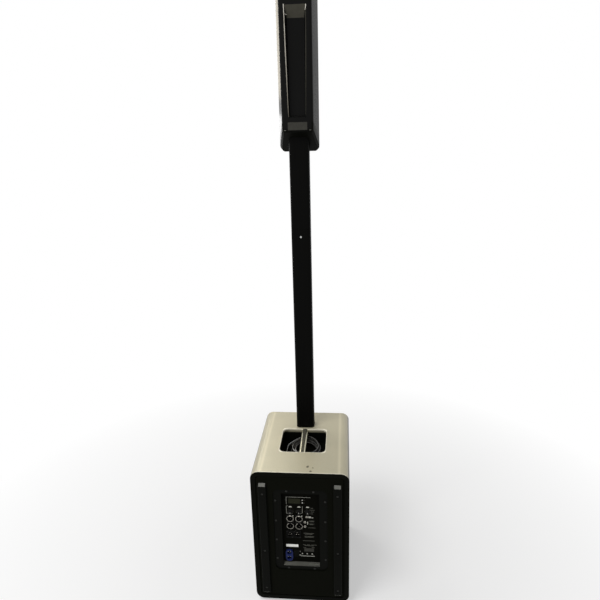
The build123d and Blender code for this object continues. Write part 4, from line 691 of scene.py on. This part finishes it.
# Turn, radius and rise of the coil's line, with straight changes between them.
COIL_LINE = ((0.0, 64.0, 0.0), (0.3, 61.5, 0.0), (1.0, 52.8, 0.0), (2.0, 44.5, 0.0), (2.4, 42.0, 8.0),
             (3.4, 50.5, 8.0), (4.2, 57.6, 8.0), (4.6, 54.0, 16.0), (4.9, 46.5, 16.0), (5.05, 48.5, 16.0),
             (5.2, 54.5, 17.2), (5.36, 64.0, 17.2))
GLAND_TIP = (-62.0, 64.2, 520.0)
LEAD_IN = (GLAND_TIP, (-62.0, 38.2, 520.0), (-66.0, 6.2, 512.4))
LEAD_OUT = ((62.5, -38.0, 525.5), (67.0, -16.0, 518.0), (66.0, 10.0, 517.0))
LEAD_HOLE = 3.9                 # radius of the bore in the gland and the plug's sleeve


def coil_point(turn):
    """Point of the coil after so many turns, counted from the side away from the plug."""
    for (a, r0, z0), (b, r1, z1) in zip(COIL_LINE, COIL_LINE[1:]):
        if turn <= b:
            share = (turn - a) / (b - a)
            radius, rise = r0 + (r1 - r0) * share, z0 + (z1 - z0) * share
            break
    angle = radians(180 + 360 * turn)
    x, y = COIL_MIDDLE
    lift = COIL_LIFT * max(0.0, -sin(angle)) * min(1.0, turn / COIL_LINE[-1][0])
    return x + radius * cos(angle), y + radius * sin(angle), TUB_FLOOR + COIL_BASE + rise + lift


class LayLead(Undoable, bpy.types.Operator):
    """Lay the stowed lead in the well, with its gland, bend relief and plug"""
    bl_idname = "column_pa.lay_lead"
    bl_label = "Stowed lead"

    def execute(self, context):
        lead = context.scene.column_pa.lead
        last = COIL_LINE[-1][0]
        count = round(last * lead.steps)
        points = [*LEAD_IN, *[coil_point(last * k / count) for k in range(1, count)], *LEAD_OUT]
        curve = bpy.data.curves.new("link_lead", "CURVE")
        curve.dimensions, curve.bevel_depth, curve.bevel_resolution = "3D", lead.diameter / 2, 4
        curve.resolution_u, curve.use_fill_caps = 6, True
        spline = curve.splines.new("NURBS")
        spline.points.add(len(points) - 1)
        for point, place in zip(spline.points, points):
            point.co = (*[c * MM for c in place], 1.0)
        spline.order_u, spline.use_endpoint_u = 3, True
        piece = bpy.data.objects.new("link_lead", curve)
        bpy.context.scene.collection.objects.link(piece)
        curve.materials.append(finish("cord_sheath"))
        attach(piece, "cabinet")
        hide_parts("link_cord_in", "link_cord_coil", "link_cord_out")
        gland = self.make_gland()
        plug = self.make_plug()
        return {"FINISHED"}

    @staticmethod
    def make_gland():
        """Ribbed rubber bend relief with a six-sided nut."""
        x, tip, z = GLAND_TIP
        relief = [(LEAD_HOLE, tip), (4.6, tip)]
        for k in range(4):
            y, r = tip + 2.0 + k * 2.6, 4.7 + k * 0.25
            relief += [(r, y), (r + 0.6, y + 0.4), (r + 0.6, y + 1.3), (r, y + 1.7)]
        relief += [(5.6, tip + 11.0), (6.0, tip + 13.2), (6.0, span("cord_gland")[1].y)]
        relief.append((LEAD_HOLE, relief[-1][1]))
        return make_piece("lead_gland", "black_rubber",
                          {"butyl_rubber": [turned(x, z, relief, 28)],
                           "moulded_abs": [prism(around(x, z, 9.4, range(0, 360, 60)), tip + 8.8, tip + 14.0)]},
                          bevel=0.5, replaces=["cord_gland"])

    @staticmethod
    def make_plug():
        """Round three-pin plug with a ribbed rubber sleeve."""
        low, high = span("link_plug")
        x, y, z = (low.x + high.x) / 2, low.y, (low.z + high.z) / 2
        sleeve = [(LEAD_HOLE, y)]
        for k in range(5):
            r, rib = 4.4 + k * 0.25, y + k * 3.4
            sleeve += [(r, rib), (r, rib + 1.7), (r - 0.5, rib + 2.0), (r - 0.5, rib + 3.1)]
        sleeve += [(5.5, y + 17.5), (LEAD_HOLE, y + 17.5)]
        barrel = [(4.0, y + 15), (7.6, y + 15), (8.6, y + 17), (8.9, y + 21), (8.9, y + 30), (8.4, y + 31),
                  (8.4, y + 33), (8.9, y + 34), (8.9, high.y - 1.2), (8.2, high.y - 0.2), (7.4, high.y - 0.2),
                  (7.2, high.y - 6), (4.0, high.y - 6)]
        pins = [pin(*place, 1.3, high.y - 7, high.y, (1.6, 1.0, 1.0), 12)
                for place in around(x, z, 5.2, (90, 210, 330))]
        return make_piece("lead_plug", "plug_shell",
                          {"butyl_rubber": [turned(x, z, sleeve, 28)], "plug_shell": [turned(x, z, barrel)],
                           "satin_nickel": pins}, replaces=["link_plug"])


# ---- cabinet -------------------------------------------------------------------------------------
RIM_RADIUS, RIM_RISE = 1.9, 0.5
ROLL_RADIUS = 30.0              # of the top's rolled sides
WELL_LOW, WELL_HIGH = Vector((-87.5, -80.3, 0)), Vector((87.5, 84.7, 0))
WELL_CORNER = 17.0


class CoatTop(Undoable, bpy.types.Operator):
    """Lacquer the top cap and the carrying bar"""
    bl_idname = "column_pa.coat_top"
    bl_label = "Top and carrying bar"

    def execute(self, context):
        dress("top_cap", "champagne_lacquer", 0.5)
        # Painted highlight: pale rims along the rear edge and round the well stand in for the light on those edges.
        make_piece("rear_rim_painted_highlight", "champagne_coat", {"rim_painted_highlight": [tube(self.rear_edge(), RIM_RADIUS)]})
        make_piece("well_rim_painted_highlight", "champagne_coat", {"rim_painted_highlight": [self.well_rim_painted_highlight()]})
        (x, y, z), (width, depth, height) = middle_and_size("carry_bar")
        bar = prism(rounded(x, z, width, height, 6.8, 8), y - depth / 2, y + depth / 2)
        make_piece("carry_bar_skin", "champagne_coat", {"bar_lacquer": [bar]}, 0.1, replaces=["carry_bar"])
        return {"FINISHED"}

    @staticmethod
    def rear_edge():
        """Line just inside the top's rear edge, round both rolled corners."""
        corner = span("top_cap")[1]
        y, reach = corner.y - RIM_RADIUS + 0.6, ROLL_RADIUS - RIM_RADIUS + RIM_RISE
        points = []
        for side, angles in ((-1, range(130, 89, -8)), (1, range(90, 49, -8))):
            points += [(x, y, z) for x, z in around(side * (corner.x - ROLL_RADIUS), TOP - ROLL_RADIUS, reach,
                                                    angles)]
        return points

    @staticmethod
    def well_rim_painted_highlight():
        """Rounded lip round the carrying well, pale as a painted highlight."""
        middle, size = (WELL_LOW + WELL_HIGH) / 2, WELL_HIGH - WELL_LOW
        # How far out, how much rounder at the corners, and how deep each line of the lip lies.
        section = [(1.3, -5.0, 0.1), (1.0, -5.0, -0.3), (0.4, -1.0, -0.35), (-0.8, 5.0, 0.0), (-1.5, 6.0, 1.4),
                   (-1.6, 6.0, 4.0), (-1.4, 6.0, 7.0), (0.2, 5.0, 7.2), (0.2, -1.0, 0.6)]
        return loft([[(x, y, TOP - depth) for x, y in rounded(middle.x, middle.y, size.x + 2 * out,
                                                              size.y + 2 * out, WELL_CORNER + more, 8)]
                     for out, more, depth in section], closed=True)


class PaintCabinet(Undoable, bpy.types.Operator):
    """Paint the cabinet's shell and rear edging, and fit the feet"""
    bl_idname = "column_pa.paint_cabinet"
    bl_label = "Cabinet shell"

    def execute(self, context):
        dress("cabinet_sleeve", "structure_paint", 0.5)
        dress("rear_bezel", "edge_enamel", 1.0)
        dress("feet", "butyl_rubber", 1.0)
        return {"FINISHED"}


class LineWell(Undoable, bpy.types.Operator):
    """Finish the tub under the bar and the socket that the pole stands in"""
    bl_idname = "column_pa.line_well"
    bl_label = "Well and pole socket"

    def execute(self, context):
        dress("well_tub pole_socket", "moulded_abs", context.scene.column_pa.finish.edge)
        dress("socket_contacts", "satin_nickel", 0.2)
        return {"FINISHED"}


class FinishRearWall(Undoable, bpy.types.Operator):
    """Finish the rear wall, the skid rails with their ribs, and the screws"""
    bl_idname = "column_pa.finish_rear_wall"
    bl_label = "Rear wall and rails"

    def execute(self, context):
        dress("rear_baffle", "structure_paint", 0.8)
        dress("skid_rails", "moulded_abs", 1.2)
        dress("rear_screws", "black_zinc", 0.3)
        (x, y, z), (width, depth, height) = middle_and_size("rear_baffle")
        outer, inner = (rounded(x, z, width + more, height + more, radius, 8)
                        for more, radius in ((1.2, 12.1), (-0.6, 11.2)))
        make_piece("rear_seam", "black_plywood",
                   {"structure_paint": [frame_shape(outer, inner, REAR - 7.0, REAR - 4.0)]})
        # Painted highlight: the ribs are grey for the light falling on the rails' sloped ends.
        make_piece("rail_ribs", "black_moulding", {"grey_painted_highlight": self.ribs()})
        return {"FINISHED"}

    @staticmethod
    def ribs():
        """Ribs on the slopes at both ends of both rails."""
        low, high = span("skid_rails")
        slope, pitch, width = 10.0, 2.6, 1.9
        shapes = []
        for side in (-1, 1):
            for z, way in ((high.z, 1), (low.z, -1)):
                outline = [(REAR + 0.2, z - way * 1.2), (REAR + 0.8, z - way * 0.1),
                           (RAIL_FACE - 0.2, z - way * (slope - 0.9)), (RAIL_FACE - 1.4, z - way * slope)]
                for k in range(-4, 5):
                    x = side * (high.x - 15.0) + k * pitch
                    shapes.append(prism(outline, x - width / 2, x + width / 2, "X"))
        return shapes


# ---- amplifier plate and panel: places as x, z ---------------------------------------------------
KNOBS = ((37.5, "level_knob_1"), (5.9, "level_knob_2"), (-25.5, "encoder_knob"))
KNOB_Z = 397.0
COMBOS = ((39.1, 367.0), (6.9, 367.0), (39.1, 335.0), (6.9, 335.0))
LINKS = ((42.0, 297.0), (14.5, 297.0))
PHONOS, JACK = ((-15.0, 356.0), (-15.0, 337.0)), (-21.5, 375.5)
MAINS_CUPS = ((46.0, 215.5), (46.0, 192.5))
SCREW_ACROSS, SCREW_UP = 9.9, 12.9      # from a socket's middle to its two screws
STICKER_MIDDLE = (34.75, 245.2)
SWITCH_MIDDLE = (19.5, 213.0)
DISPLAY_MIDDLE, DISPLAY_SIZE = (22.5, 441.0), (43.0, 21.5)


class FitPlate(Undoable, bpy.types.Operator):
    """Finish the amplifier plate, the sunk panel and the bright sill"""
    bl_idname = "column_pa.fit_plate"
    bl_label = "Amplifier plate"

    def execute(self, context):
        dress("amp_plate", "moulded_abs", 1.0)
        dress("control_panel", "panel_film")
        dress("panel_sill", "brushed_aluminium", 0.2)
        x, y, z = middle_and_size("panel_sill")[0]
        outline = [(y - 0.9, z + 1.4), (y - 0.5, z + 1.6), (y + 1.7, z - 1.0), (y + 1.3, z - 1.2)]
        starts = [span("panel_sill")[0].x + 4 + k * 2.4 for k in range(16)]
        make_piece("sill_ticks", "bright_strip", {"faint_ink": [prism(outline, t, t + 0.9, "X") for t in starts]})
        return {"FINISHED"}


class PrintPanel(Undoable, bpy.types.Operator):
    """Print plain lines, ticks and marks on the panel, and stick on the bare sticker"""
    bl_idname = "column_pa.print_panel"
    bl_label = "Panel print"

    def execute(self, context):
        size = context.scene.column_pa.print
        self.width, self.low, self.high = size.line_width, PANEL_FACE - 0.02, PANEL_FACE + size.film
        make_piece("panel_white_print", "amplifier_panel", {"print_ink": self.white_print()})
        make_piece("panel_grey_print", "amplifier_panel", {"faint_ink": self.grey_print()})
        dark = self.patch(rounded(-27.5, 228.0, 36.0, 15.0, 1.0))
        make_piece("panel_dark_block", "amplifier_panel", {"textured_field": [dark]})
        label = rounded(*STICKER_MIDDLE, size.sticker_width, size.sticker_height, 1.2)
        make_piece("bare_sticker", "amplifier_panel", {"label_vinyl": [prism(label, self.low, PANEL_FACE + 0.25)]},
                   0.1)
        return {"FINISHED"}

    def patch(self, outline):
        return prism(outline, self.low, self.high)

    def stroke(self, x0, z0, x1, z1, width=None):
        return line(x0, z0, x1, z1, width or self.width, self.low, self.high)

    def white_print(self):
        shapes = [self.stroke(*ends) for ends in (
            (51.5, 426, 51.5, 457), (51.5, 457, -36, 457), (52, 418, 52, 388), (-6, 419, -6, 390),
            (52, 418, 46, 420), (52, 388, 46, 385), (46, 385, 30, 385), (-6, 390, 6, 386))]
        z = KNOB_Z + 16.5
        shapes += [self.patch([(x - 6.4, z), (x + 6.4, z), (x + 3.6, z + 4.6), (x - 3.6, z + 4.6)])
                   for x, name in KNOBS]
        # A line and a ring beside the switch.
        x, z = SWITCH_MIDDLE
        shapes.append(self.stroke(x - 13.5, z + 9, x - 13.5, z + 5, 1.0))
        shapes.append(turned(x - 13.5, z - 9, [(1.5, self.low), (2.4, self.low), (2.4, self.high), (1.5, self.high)],
                             20))
        # Marks beside the small sockets.
        shapes += [self.patch(rounded(*place, 0.8))
                   for place in ((-32, 373, 9, 7), (-24.5, 347, 2.2, 13), (-42, 371, 7, 2.5))]
        # Three small pointed marks, and the line under them.
        shapes += [self.patch([(x - 3, 208.5), (x + 3, 208.5), (x, 213.5)]) for x in (-2.0, -20.0, -38.5)]
        shapes.append(self.stroke(3, 200, -47, 200, 1.6))
        return shapes

    def grey_print(self):
        shapes = []
        for x, name in KNOBS:
            inner, outer = (around(x, KNOB_Z, radius, range(-60, 241, 30)) for radius in (10.2, 11.6))
            shapes += [self.stroke(*a, *b, 0.6) for a, b in zip(inner, outer)]
        shapes += [self.stroke(x - 12, z - 15.6, x + 12, z - 15.6, 0.6) for x, z in COMBOS[2:]]
        shapes += [self.stroke(x + a, z + 15.2, x + b, z + 15.2) for x, z in LINKS for a, b in ((-11, -3), (2, 8))]
        shapes += [self.stroke(-10.3, z, -15.8, z) for z in (445.4, 433.8)]
        # Plain lines in groups down the panel's narrow side: height and both ends.
        for z, start, end in ((412, -36, -44), (404, -34, -50), (396, -38, -48), (388, -36, -44), (357, -30, -48),
                              (354, -32, -46), (344, -29, -48), (341, -32, -44), (327, -26, -52), (302.5, -9, -46),
                              (298, -14, -40), (289, -13, -46), (285, -13, -44), (269, -6, -48), (251, -6, -14),
                              (251, -20, -30), (251, -36, -55), (247, -12, -44), (239, -6, -16), (239, -38, -48)):
            shapes.append(self.stroke(start, z, end, z, 1.1))
        return shapes


class FitDisplay(Undoable, bpy.types.Operator):
    """Finish the display window, its bezel line and the two status lenses"""
    bl_idname = "column_pa.fit_display"
    bl_label = "Display and lamps"

    def execute(self, context):
        dress("display_window", "display_glass", 0.3)
        dress("status_lenses", "lamp_lens", 0.3)
        width, height = DISPLAY_SIZE
        outer, inner = (rounded(*DISPLAY_MIDDLE, width + more, height + more, radius)
                        for more, radius in ((2.4, 1.2), (0.2, 0.4)))
        make_piece("display_frame", "socket_plastic",
                   {"moulded_abs": [frame_shape(outer, inner, PANEL_FACE - 0.02, PANEL_FACE + 1.0)]}, 0.25)
        return {"FINISHED"}


class FitKnobs(Undoable, bpy.types.Operator):
    """Replace the knobs by fluted ones with a pointer line"""
    bl_idname = "column_pa.fit_knobs"
    bl_label = "Knobs"

    def execute(self, context):
        for x, name in KNOBS:
            low, high = span(name)
            base, face = PANEL_FACE + 0.8, high.y
            shaft = turned(x, KNOB_Z, [(0.0, low.y), (2.9, low.y), (2.9, base + 0.3), (0.0, base + 0.3)], 24)
            make_piece(name + "_cap", "knob_plastic",
                       {"soft_touch": [self.fluted(x, base, face)], "cast_aluminium": [shaft]}, body=name,
                       replaces=[name])
            pointer = prism(rounded(x, KNOB_Z + 2.6, 1.7, 4.0, 0.4), face - 0.14, face + 0.06)
            make_piece(name + "_pointer", "knob_plastic", {"print_ink": [pointer]}, body=name)
        return {"FINISHED"}

    @staticmethod
    def fluted(x, base, face, flutes=24):
        """Turned cap whose grip, the middle of its profile, is waved into flutes."""
        profile = [(3.0, base), (8.0, base), (8.0, base + 2.0), (7.4, base + 2.9), (6.15, base + 3.4),
                   (5.75, face - 1.0), (5.2, face - 0.25), (4.4, face), (0.0, face)]
        corners, faces, n, steps = [], [], len(profile), flutes * 4
        for i in range(steps):
            a, j = 2 * pi * i / steps, (i + 1) % steps
            wave = 1 - 0.0275 * (1 - cos(flutes * a))
            for k, (r, y) in enumerate(profile):
                reach = r * (wave if 4 <= k <= 6 else 1)
                corners.append((x + reach * cos(a), y, KNOB_Z + reach * sin(a)))
            faces += [[i * n + k, i * n + k + 1, j * n + k + 1, j * n + k] for k in range(n - 1)]
        return corners, faces


def socket_screws(places, low, high, round_off):
    """Two screws at the corners of each socket's flange."""
    return [ring(x + side * SCREW_ACROSS, z + side * SCREW_UP, 0.5, 1.9, low, high, round_off, 18)
            for x, z in places for side in (1, -1)]


class FitCombos(Undoable, bpy.types.Operator):
    """Give each combined socket its bright ring, contacts and release tab"""
    bl_idname = "column_pa.fit_combos"
    bl_label = "Combined sockets"

    def execute(self, context):
        for n, (x, z) in enumerate(COMBOS, 1):
            dress("combo_socket_%d" % n, "socket_nylon", 0.35)
            dress("latch_tab_%d" % n, "satin_nickel" if n < 3 else "socket_nylon", 0.4)
            face = span("combo_socket_%d" % n)[1].y
            floor = face - 14.5
            bright = ring(x, z, 11.7, 12.7, face - 1.0, face + 0.5, 0.35, 48, 111, 318)
            make_piece("combo_ring_%d" % n, "bright_steel", {"satin_nickel": [bright]})
            pins = [ring(*place, 0.7, 1.6, floor, floor + 7.5, 0.3, 14) for place in around(x, z, 6.9, (30, 150, 270))]
            make_piece("combo_core_%d" % n, "socket_plastic",
                       {"socket_nylon": [ring(x, z, 3.3, 4.7, floor, floor + 9.0, 0.5, 28)], "satin_nickel": pins})
            make_piece("combo_screws_%d" % n, "black_screws",
                       {"black_zinc": socket_screws([(x, z)], face - 2.0, face - 0.95, 0.4)})
            if n < 3:
                mark = prism(rounded(x - 10.4, z + 11.8, 4.0, 4.6, 1.0), face - 1.2, face - 0.7)
                make_piece("combo_mark_%d" % n, "socket_plastic", {"print_ink": [mark]})
        return {"FINISHED"}


class FitLinks(Undoable, bpy.types.Operator):
    """Give the link and side sockets their pins, collars and rings"""
    bl_idname = "column_pa.fit_links"
    bl_label = "Link and side sockets"

    def execute(self, context):
        dress("link_sockets", "socket_nylon", 0.35)
        dress("aux_sockets", "socket_nylon", 0.3)
        face = span("link_sockets")[1].y
        pins = [pin(*place, 1.2, face - 14.3, face, (3.4, 2.8, 2.6), 14)
                for x, z in LINKS for place in around(x, z, 5.0, (90, 210, 330))]
        make_piece("link_pins", "bright_steel", {"satin_nickel": pins})
        make_piece("link_screws", "black_screws",
                   {"black_zinc": socket_screws(LINKS, face - 0.3, face + 0.35, 0.3)})
        face = span("aux_sockets")[1].y
        collars = [ring(x, z, 2.7, 4.35, face - 3.0, face + 0.3, 0.5, 28) for x, z in PHONOS]
        collars.append(ring(*JACK, 2.0, 3.7, PANEL_FACE + 1.6, PANEL_FACE + 2.5, 0.4, 24))
        make_piece("aux_collars", "bright_steel", {"satin_nickel": collars})
        return {"FINISHED"}


class FitMains(Undoable, bpy.types.Operator):
    """Finish the blue mains inlet with its blades, the switch frame and the rocker"""
    bl_idname = "column_pa.fit_mains"
    bl_label = "Mains inlet and switch"

    def execute(self, context):
        dress("mains_inlet", "blue_nylon", 0.5)
        dress("switch_frame", "socket_nylon", 0.4)
        dress("mains_rocker", "moulded_abs", 0.4)
        face = span("mains_inlet")[1].y
        blades = [prism(rounded(*place, 3.6, 1.0, 0.3), face - 15.5, face - 5.0)
                  for x, z in MAINS_CUPS for place in around(x, z, 5.0, (30, 150, 270))]
        make_piece("mains_blades", "bright_steel", {"satin_nickel": blades})
        return {"FINISHED"}


class FitBoards(Undoable, bpy.types.Operator):
    """Finish the boards behind the panel and the heat sink, and fill the control board with parts"""
    bl_idname = "column_pa.fit_boards"
    bl_label = "Inner boards"

    def execute(self, context):
        dress("control_board", "circuit_board")
        dress("amp_board", "circuit_board", 0.5)
        dress("heat_sink", "cast_aluminium", 0.3)
        low = span("control_board")[0]
        x, y, z = low.x + 12, low.y, low.z + 8.0
        can = [(0.0, y - 5.0), (2.2, y - 5.0), (2.5, y - 4.7), (2.5, y + 0.2), (0.0, y + 0.2)]
        steps = [k * 14.0 for k in range(6)]
        make_piece("control_board_parts", "circuit_board",
                   {"socket_nylon": [prism(rounded(x + step, z, 6.0, 4.2), y - 2.6, y + 0.2) for step in steps],
                    "cast_aluminium": [turned(x + 6.5 + step, z + 2.0, can, 18) for step in steps]}, 0.2)
        return {"FINISHED"}


# ---- front ---------------------------------------------------------------------------------------
class BuildFront(Undoable, bpy.types.Operator):
    """Finish the front wall, the woofer and the port ducts"""
    bl_idname = "column_pa.build_front"
    bl_label = "Woofer and ports"

    def execute(self, context):
        dress("front_baffle", "structure_paint", 0.8)
        dress("port_ducts", "moulded_abs", 0.8)
        dress("woofer_basket", "cast_aluminium", 0.6)
        dress("woofer_magnet", "ferrite", 0.6)
        dress("woofer_cone", "coated_paper")
        dress("woofer_surround", "butyl_rubber")
        return {"FINISHED"}


class HangGrille(Undoable, bpy.types.Operator):
    """Hang the perforated front grille in its frame"""
    bl_idname = "column_pa.hang_grille"
    bl_label = "Front grille"

    def execute(self, context):
        low, high = span("front_grille")
        middle, size = (low + high) / 2, high - low
        band, roll, sheet = 13.0, 8.0, 1.4
        # How far in from the outside and at which y each line of the frame lies.
        section = [(0.0, high.y), (0.0, low.y + roll)]
        section += around(roll, low.y + roll, -roll, (22.5, 45, 67.5, 90))
        section += [(band, low.y), (band, low.y + sheet), (roll, low.y + sheet), (sheet, low.y + roll), (sheet, high.y)]
        rings = [[(x, y, z) for x, z in rounded(middle.x, middle.z, size.x - 2 * inset, size.z - 2 * inset,
                                                max(3.0, 16.0 - inset))] for inset, y in section]
        make_piece("grille_frame", "black_grille", {"grille_enamel": [loft(rings, closed=True)]},
                   replaces=["front_grille"])
        inset = band - 2.0
        path = [(low.x + inset, low.y + 1.9), (high.x - inset, low.y + 1.9)]
        grille = context.scene.column_pa.grille
        cells = perforated(path, low.z + inset, high.z - inset, grille.front_pitch, grille.front_hole)
        make_sheet("grille_sheet", "black_grille", {"grille_enamel": [cells]})
        return {"FINISHED"}


# ---- pole and array ------------------------------------------------------------------------------
class CoatPole(Undoable, bpy.types.Operator):
    """Powder coat both pole tubes and finish their inserts, spigot and screws"""
    bl_idname = "column_pa.coat_pole"
    bl_label = "Pole"

    def execute(self, context):
        dress("lower_pole upper_pole", "powder_coat", 0.3)
        dress("pole_foot pole_head", "moulded_abs", 0.4)
        dress("pole_spigot", "cast_aluminium", 0.4)
        dress("spigot_screws", "zinc_steel", 0.3)
        return {"FINISHED"}


# Edge of the recess on the left, from its top down its outside and back: x, z. It carries a painted highlight.
RECESS_EDGE = ((36.6, 2088), (36.4, 2064), (35.2, 1955), (30.6, 1769), (29.2, 1753), (28.5, 1753), (32.1, 1955),
               (34.1, 2064), (34.5, 2088))


class FinishArray(Undoable, bpy.types.Operator):
    """Finish the array's shell and caps, with the bare rough field under the recess"""
    bl_idname = "column_pa.finish_array"
    bl_label = "Array shell"

    def execute(self, context):
        edge = context.scene.column_pa.finish.edge
        dress("array_housing", "polished_abs", edge)
        # Painted reflection: faces sloping down at the top of the recess are warm grey for the floor's light mirrored
        # there.
        recoat("array_housing", "warm_painted_reflection", lambda n: n.y > 0.7 and n.z < -0.3)
        dress("array_bottom_cap array_top_cap", "moulded_abs", edge)
        recoat("array_bottom_cap", "polished_abs", lambda n: n.y > 0.95)
        back = span("array_bottom_cap")[1].y
        field = prism(rounded(0.0, 1723.5, 65.0, 25.0, 1.5), back - 0.1, back + 0.35)
        # Painted highlight: small grey plates at the ledges' ends stand in for glints.
        ledge_glints = [prism(rounded(x, 1710.5, 7.0, 1.4), back - 1.2, back - 0.3) for x in (-42.5, 42.5)]
        self.put("bare_field", "textured_field", [field], 0.15)
        self.put("ledge_painted_glints", "grey_painted_highlight", ledge_glints, 0.3)
        face = span("array_housing")[1].y
        # Painted highlight: a bright strip on the recess's left edge, fading downwards, and a faint one on its right.
        mirrored = [(-x * (0.985 if k > 4 else 0.96), z) for k, (x, z) in enumerate(RECESS_EDGE)]
        self.put("recess_edge_left_painted_highlight", "painted_edge_highlight", [prism(RECESS_EDGE, face - 1.0, face + 0.12)], 0.2)
        self.put("recess_edge_right_painted_highlight", "warm_painted_reflection", [prism(mirrored, face - 1.0, face + 0.1)], 0.2)
        # Painted highlight: near-white tubes at the recess's top corners stand in for hooked glints.
        left = [(35.6, face, 2089), (35.3, face, 2066), (33.4, face - 4, 2061.5), (28.0, face - 12.5, 2061)]
        right = [(-35.2, face, 2086), (-34.0, face, 2077), (-32.4, face - 4, 2071)]
        self.put("recess_painted_glints", "white_painted_glint", [tube(left, 1.1), tube(right, 1.2)])
        return {"FINISHED"}

    @staticmethod
    def put(name, key, shapes, bevel=0.0):
        make_piece(name, "black_moulding", {key: shapes}, bevel, "array")


SLANT = 70.0 / 95.0             # rise of the array's lower edge from front to rear


class FillArray(Undoable, bpy.types.Operator):
    """Finish the array's drivers and hang its curved grille"""
    bl_idname = "column_pa.fill_array"
    bl_label = "Array drivers and grille"

    def execute(self, context):
        dress("array_baffle", "moulded_abs", 0.5)
        dress("array_drivers", "zinc_steel", 0.4)
        dress("array_cones", "coated_paper")
        outer, inner, middle = (self.nose(depth) for depth in (0.0, 1.2, 0.7))
        slant = [NOSE_LOW.z + SLANT * (y - NOSE_LOW.y) for x, y in outer]
        foot, top = NOSE_LOW.z + SLANT * (NOSE_HIGH.y - NOSE_LOW.y) + 5.0, NOSE_HIGH.z
        parts = [strip(outer, inner, slant, [foot] * len(outer)),
                 strip(outer, inner, [top - 5.0] * len(outer), [top] * len(outer))]
        parts += [strip(outer[k], inner[k], [foot - 0.5] * 2, [top - 4.5] * 2) for k in (slice(0, 2), slice(-2, None))]
        make_piece("array_grille_frame", "black_grille", {"grille_enamel": parts}, body="array",
                   replaces=["array_grille"])
        grille = context.scene.column_pa.grille
        cells = perforated(middle[1:-1], foot - 1.0, top - 4.0, grille.array_pitch, grille.array_hole)
        make_sheet("array_grille_sheet", "black_grille", {"grille_enamel": [cells]}, body="array")
        return {"FINISHED"}

    @staticmethod
    def nose(depth):
        """Line of the grille's section, so deep under its outside."""
        radius, lip = 16.0, 2.0
        x, y = NOSE_HIGH.x - lip - radius, NOSE_LOW.y + radius
        half = [(NOSE_HIGH.x - depth, NOSE_HIGH.y), (NOSE_HIGH.x - lip - depth + 1.2, NOSE_HIGH.y - 3.0)]
        half += around(x, y, radius - depth, range(0, -91, -10))
        return half + [(-x, y) for x, y in reversed(half)]


# ---- add-on --------------------------------------------------------------------------------------
OPERATORS = (SetStage, LayLead, CoatTop, PaintCabinet, LineWell, FinishRearWall, FitPlate, PrintPanel, FitDisplay,
             FitKnobs, FitCombos, FitLinks, FitMains, FitBoards, BuildFront, HangGrille, CoatPole, FinishArray,
             FillArray)


class ColumnPanel(bpy.types.Panel):
    """Sidebar panel with the settings and one button for each group of pieces"""
    bl_idname = "VIEW3D_PT_column_pa"
    bl_label = "Column PA System"
    bl_space_type = "VIEW_3D"
    bl_region_type = "UI"
    bl_category = "Column PA"

    def draw(self, context):
        settings = context.scene.column_pa
        for group in (settings.stage, settings.lead, settings.finish, settings.print, settings.grille):
            box = self.layout.box()
            for name in group.bl_rna.properties.keys():
                if name not in ("rna_type", "name"):
                    box.prop(group, name)
        for operator in OPERATORS:
            self.layout.operator(operator.bl_idname)


CLASSES = (FinishSettings, LeadSettings, PrintSettings, GrilleSettings, StageSettings, ColumnSettings, *OPERATORS,
           ColumnPanel)


def register():
    for item in CLASSES:
        bpy.utils.register_class(item)
    bpy.types.Scene.column_pa = PointerProperty(type=ColumnSettings)


def unregister():
    del bpy.types.Scene.column_pa
    for item in reversed(CLASSES):
        bpy.utils.unregister_class(item)


def main():
    register()
    for operator in OPERATORS:
        group, name = operator.bl_idname.split(".")
        getattr(getattr(bpy.ops, group), name)()


if __name__ == "__main__":
    main()
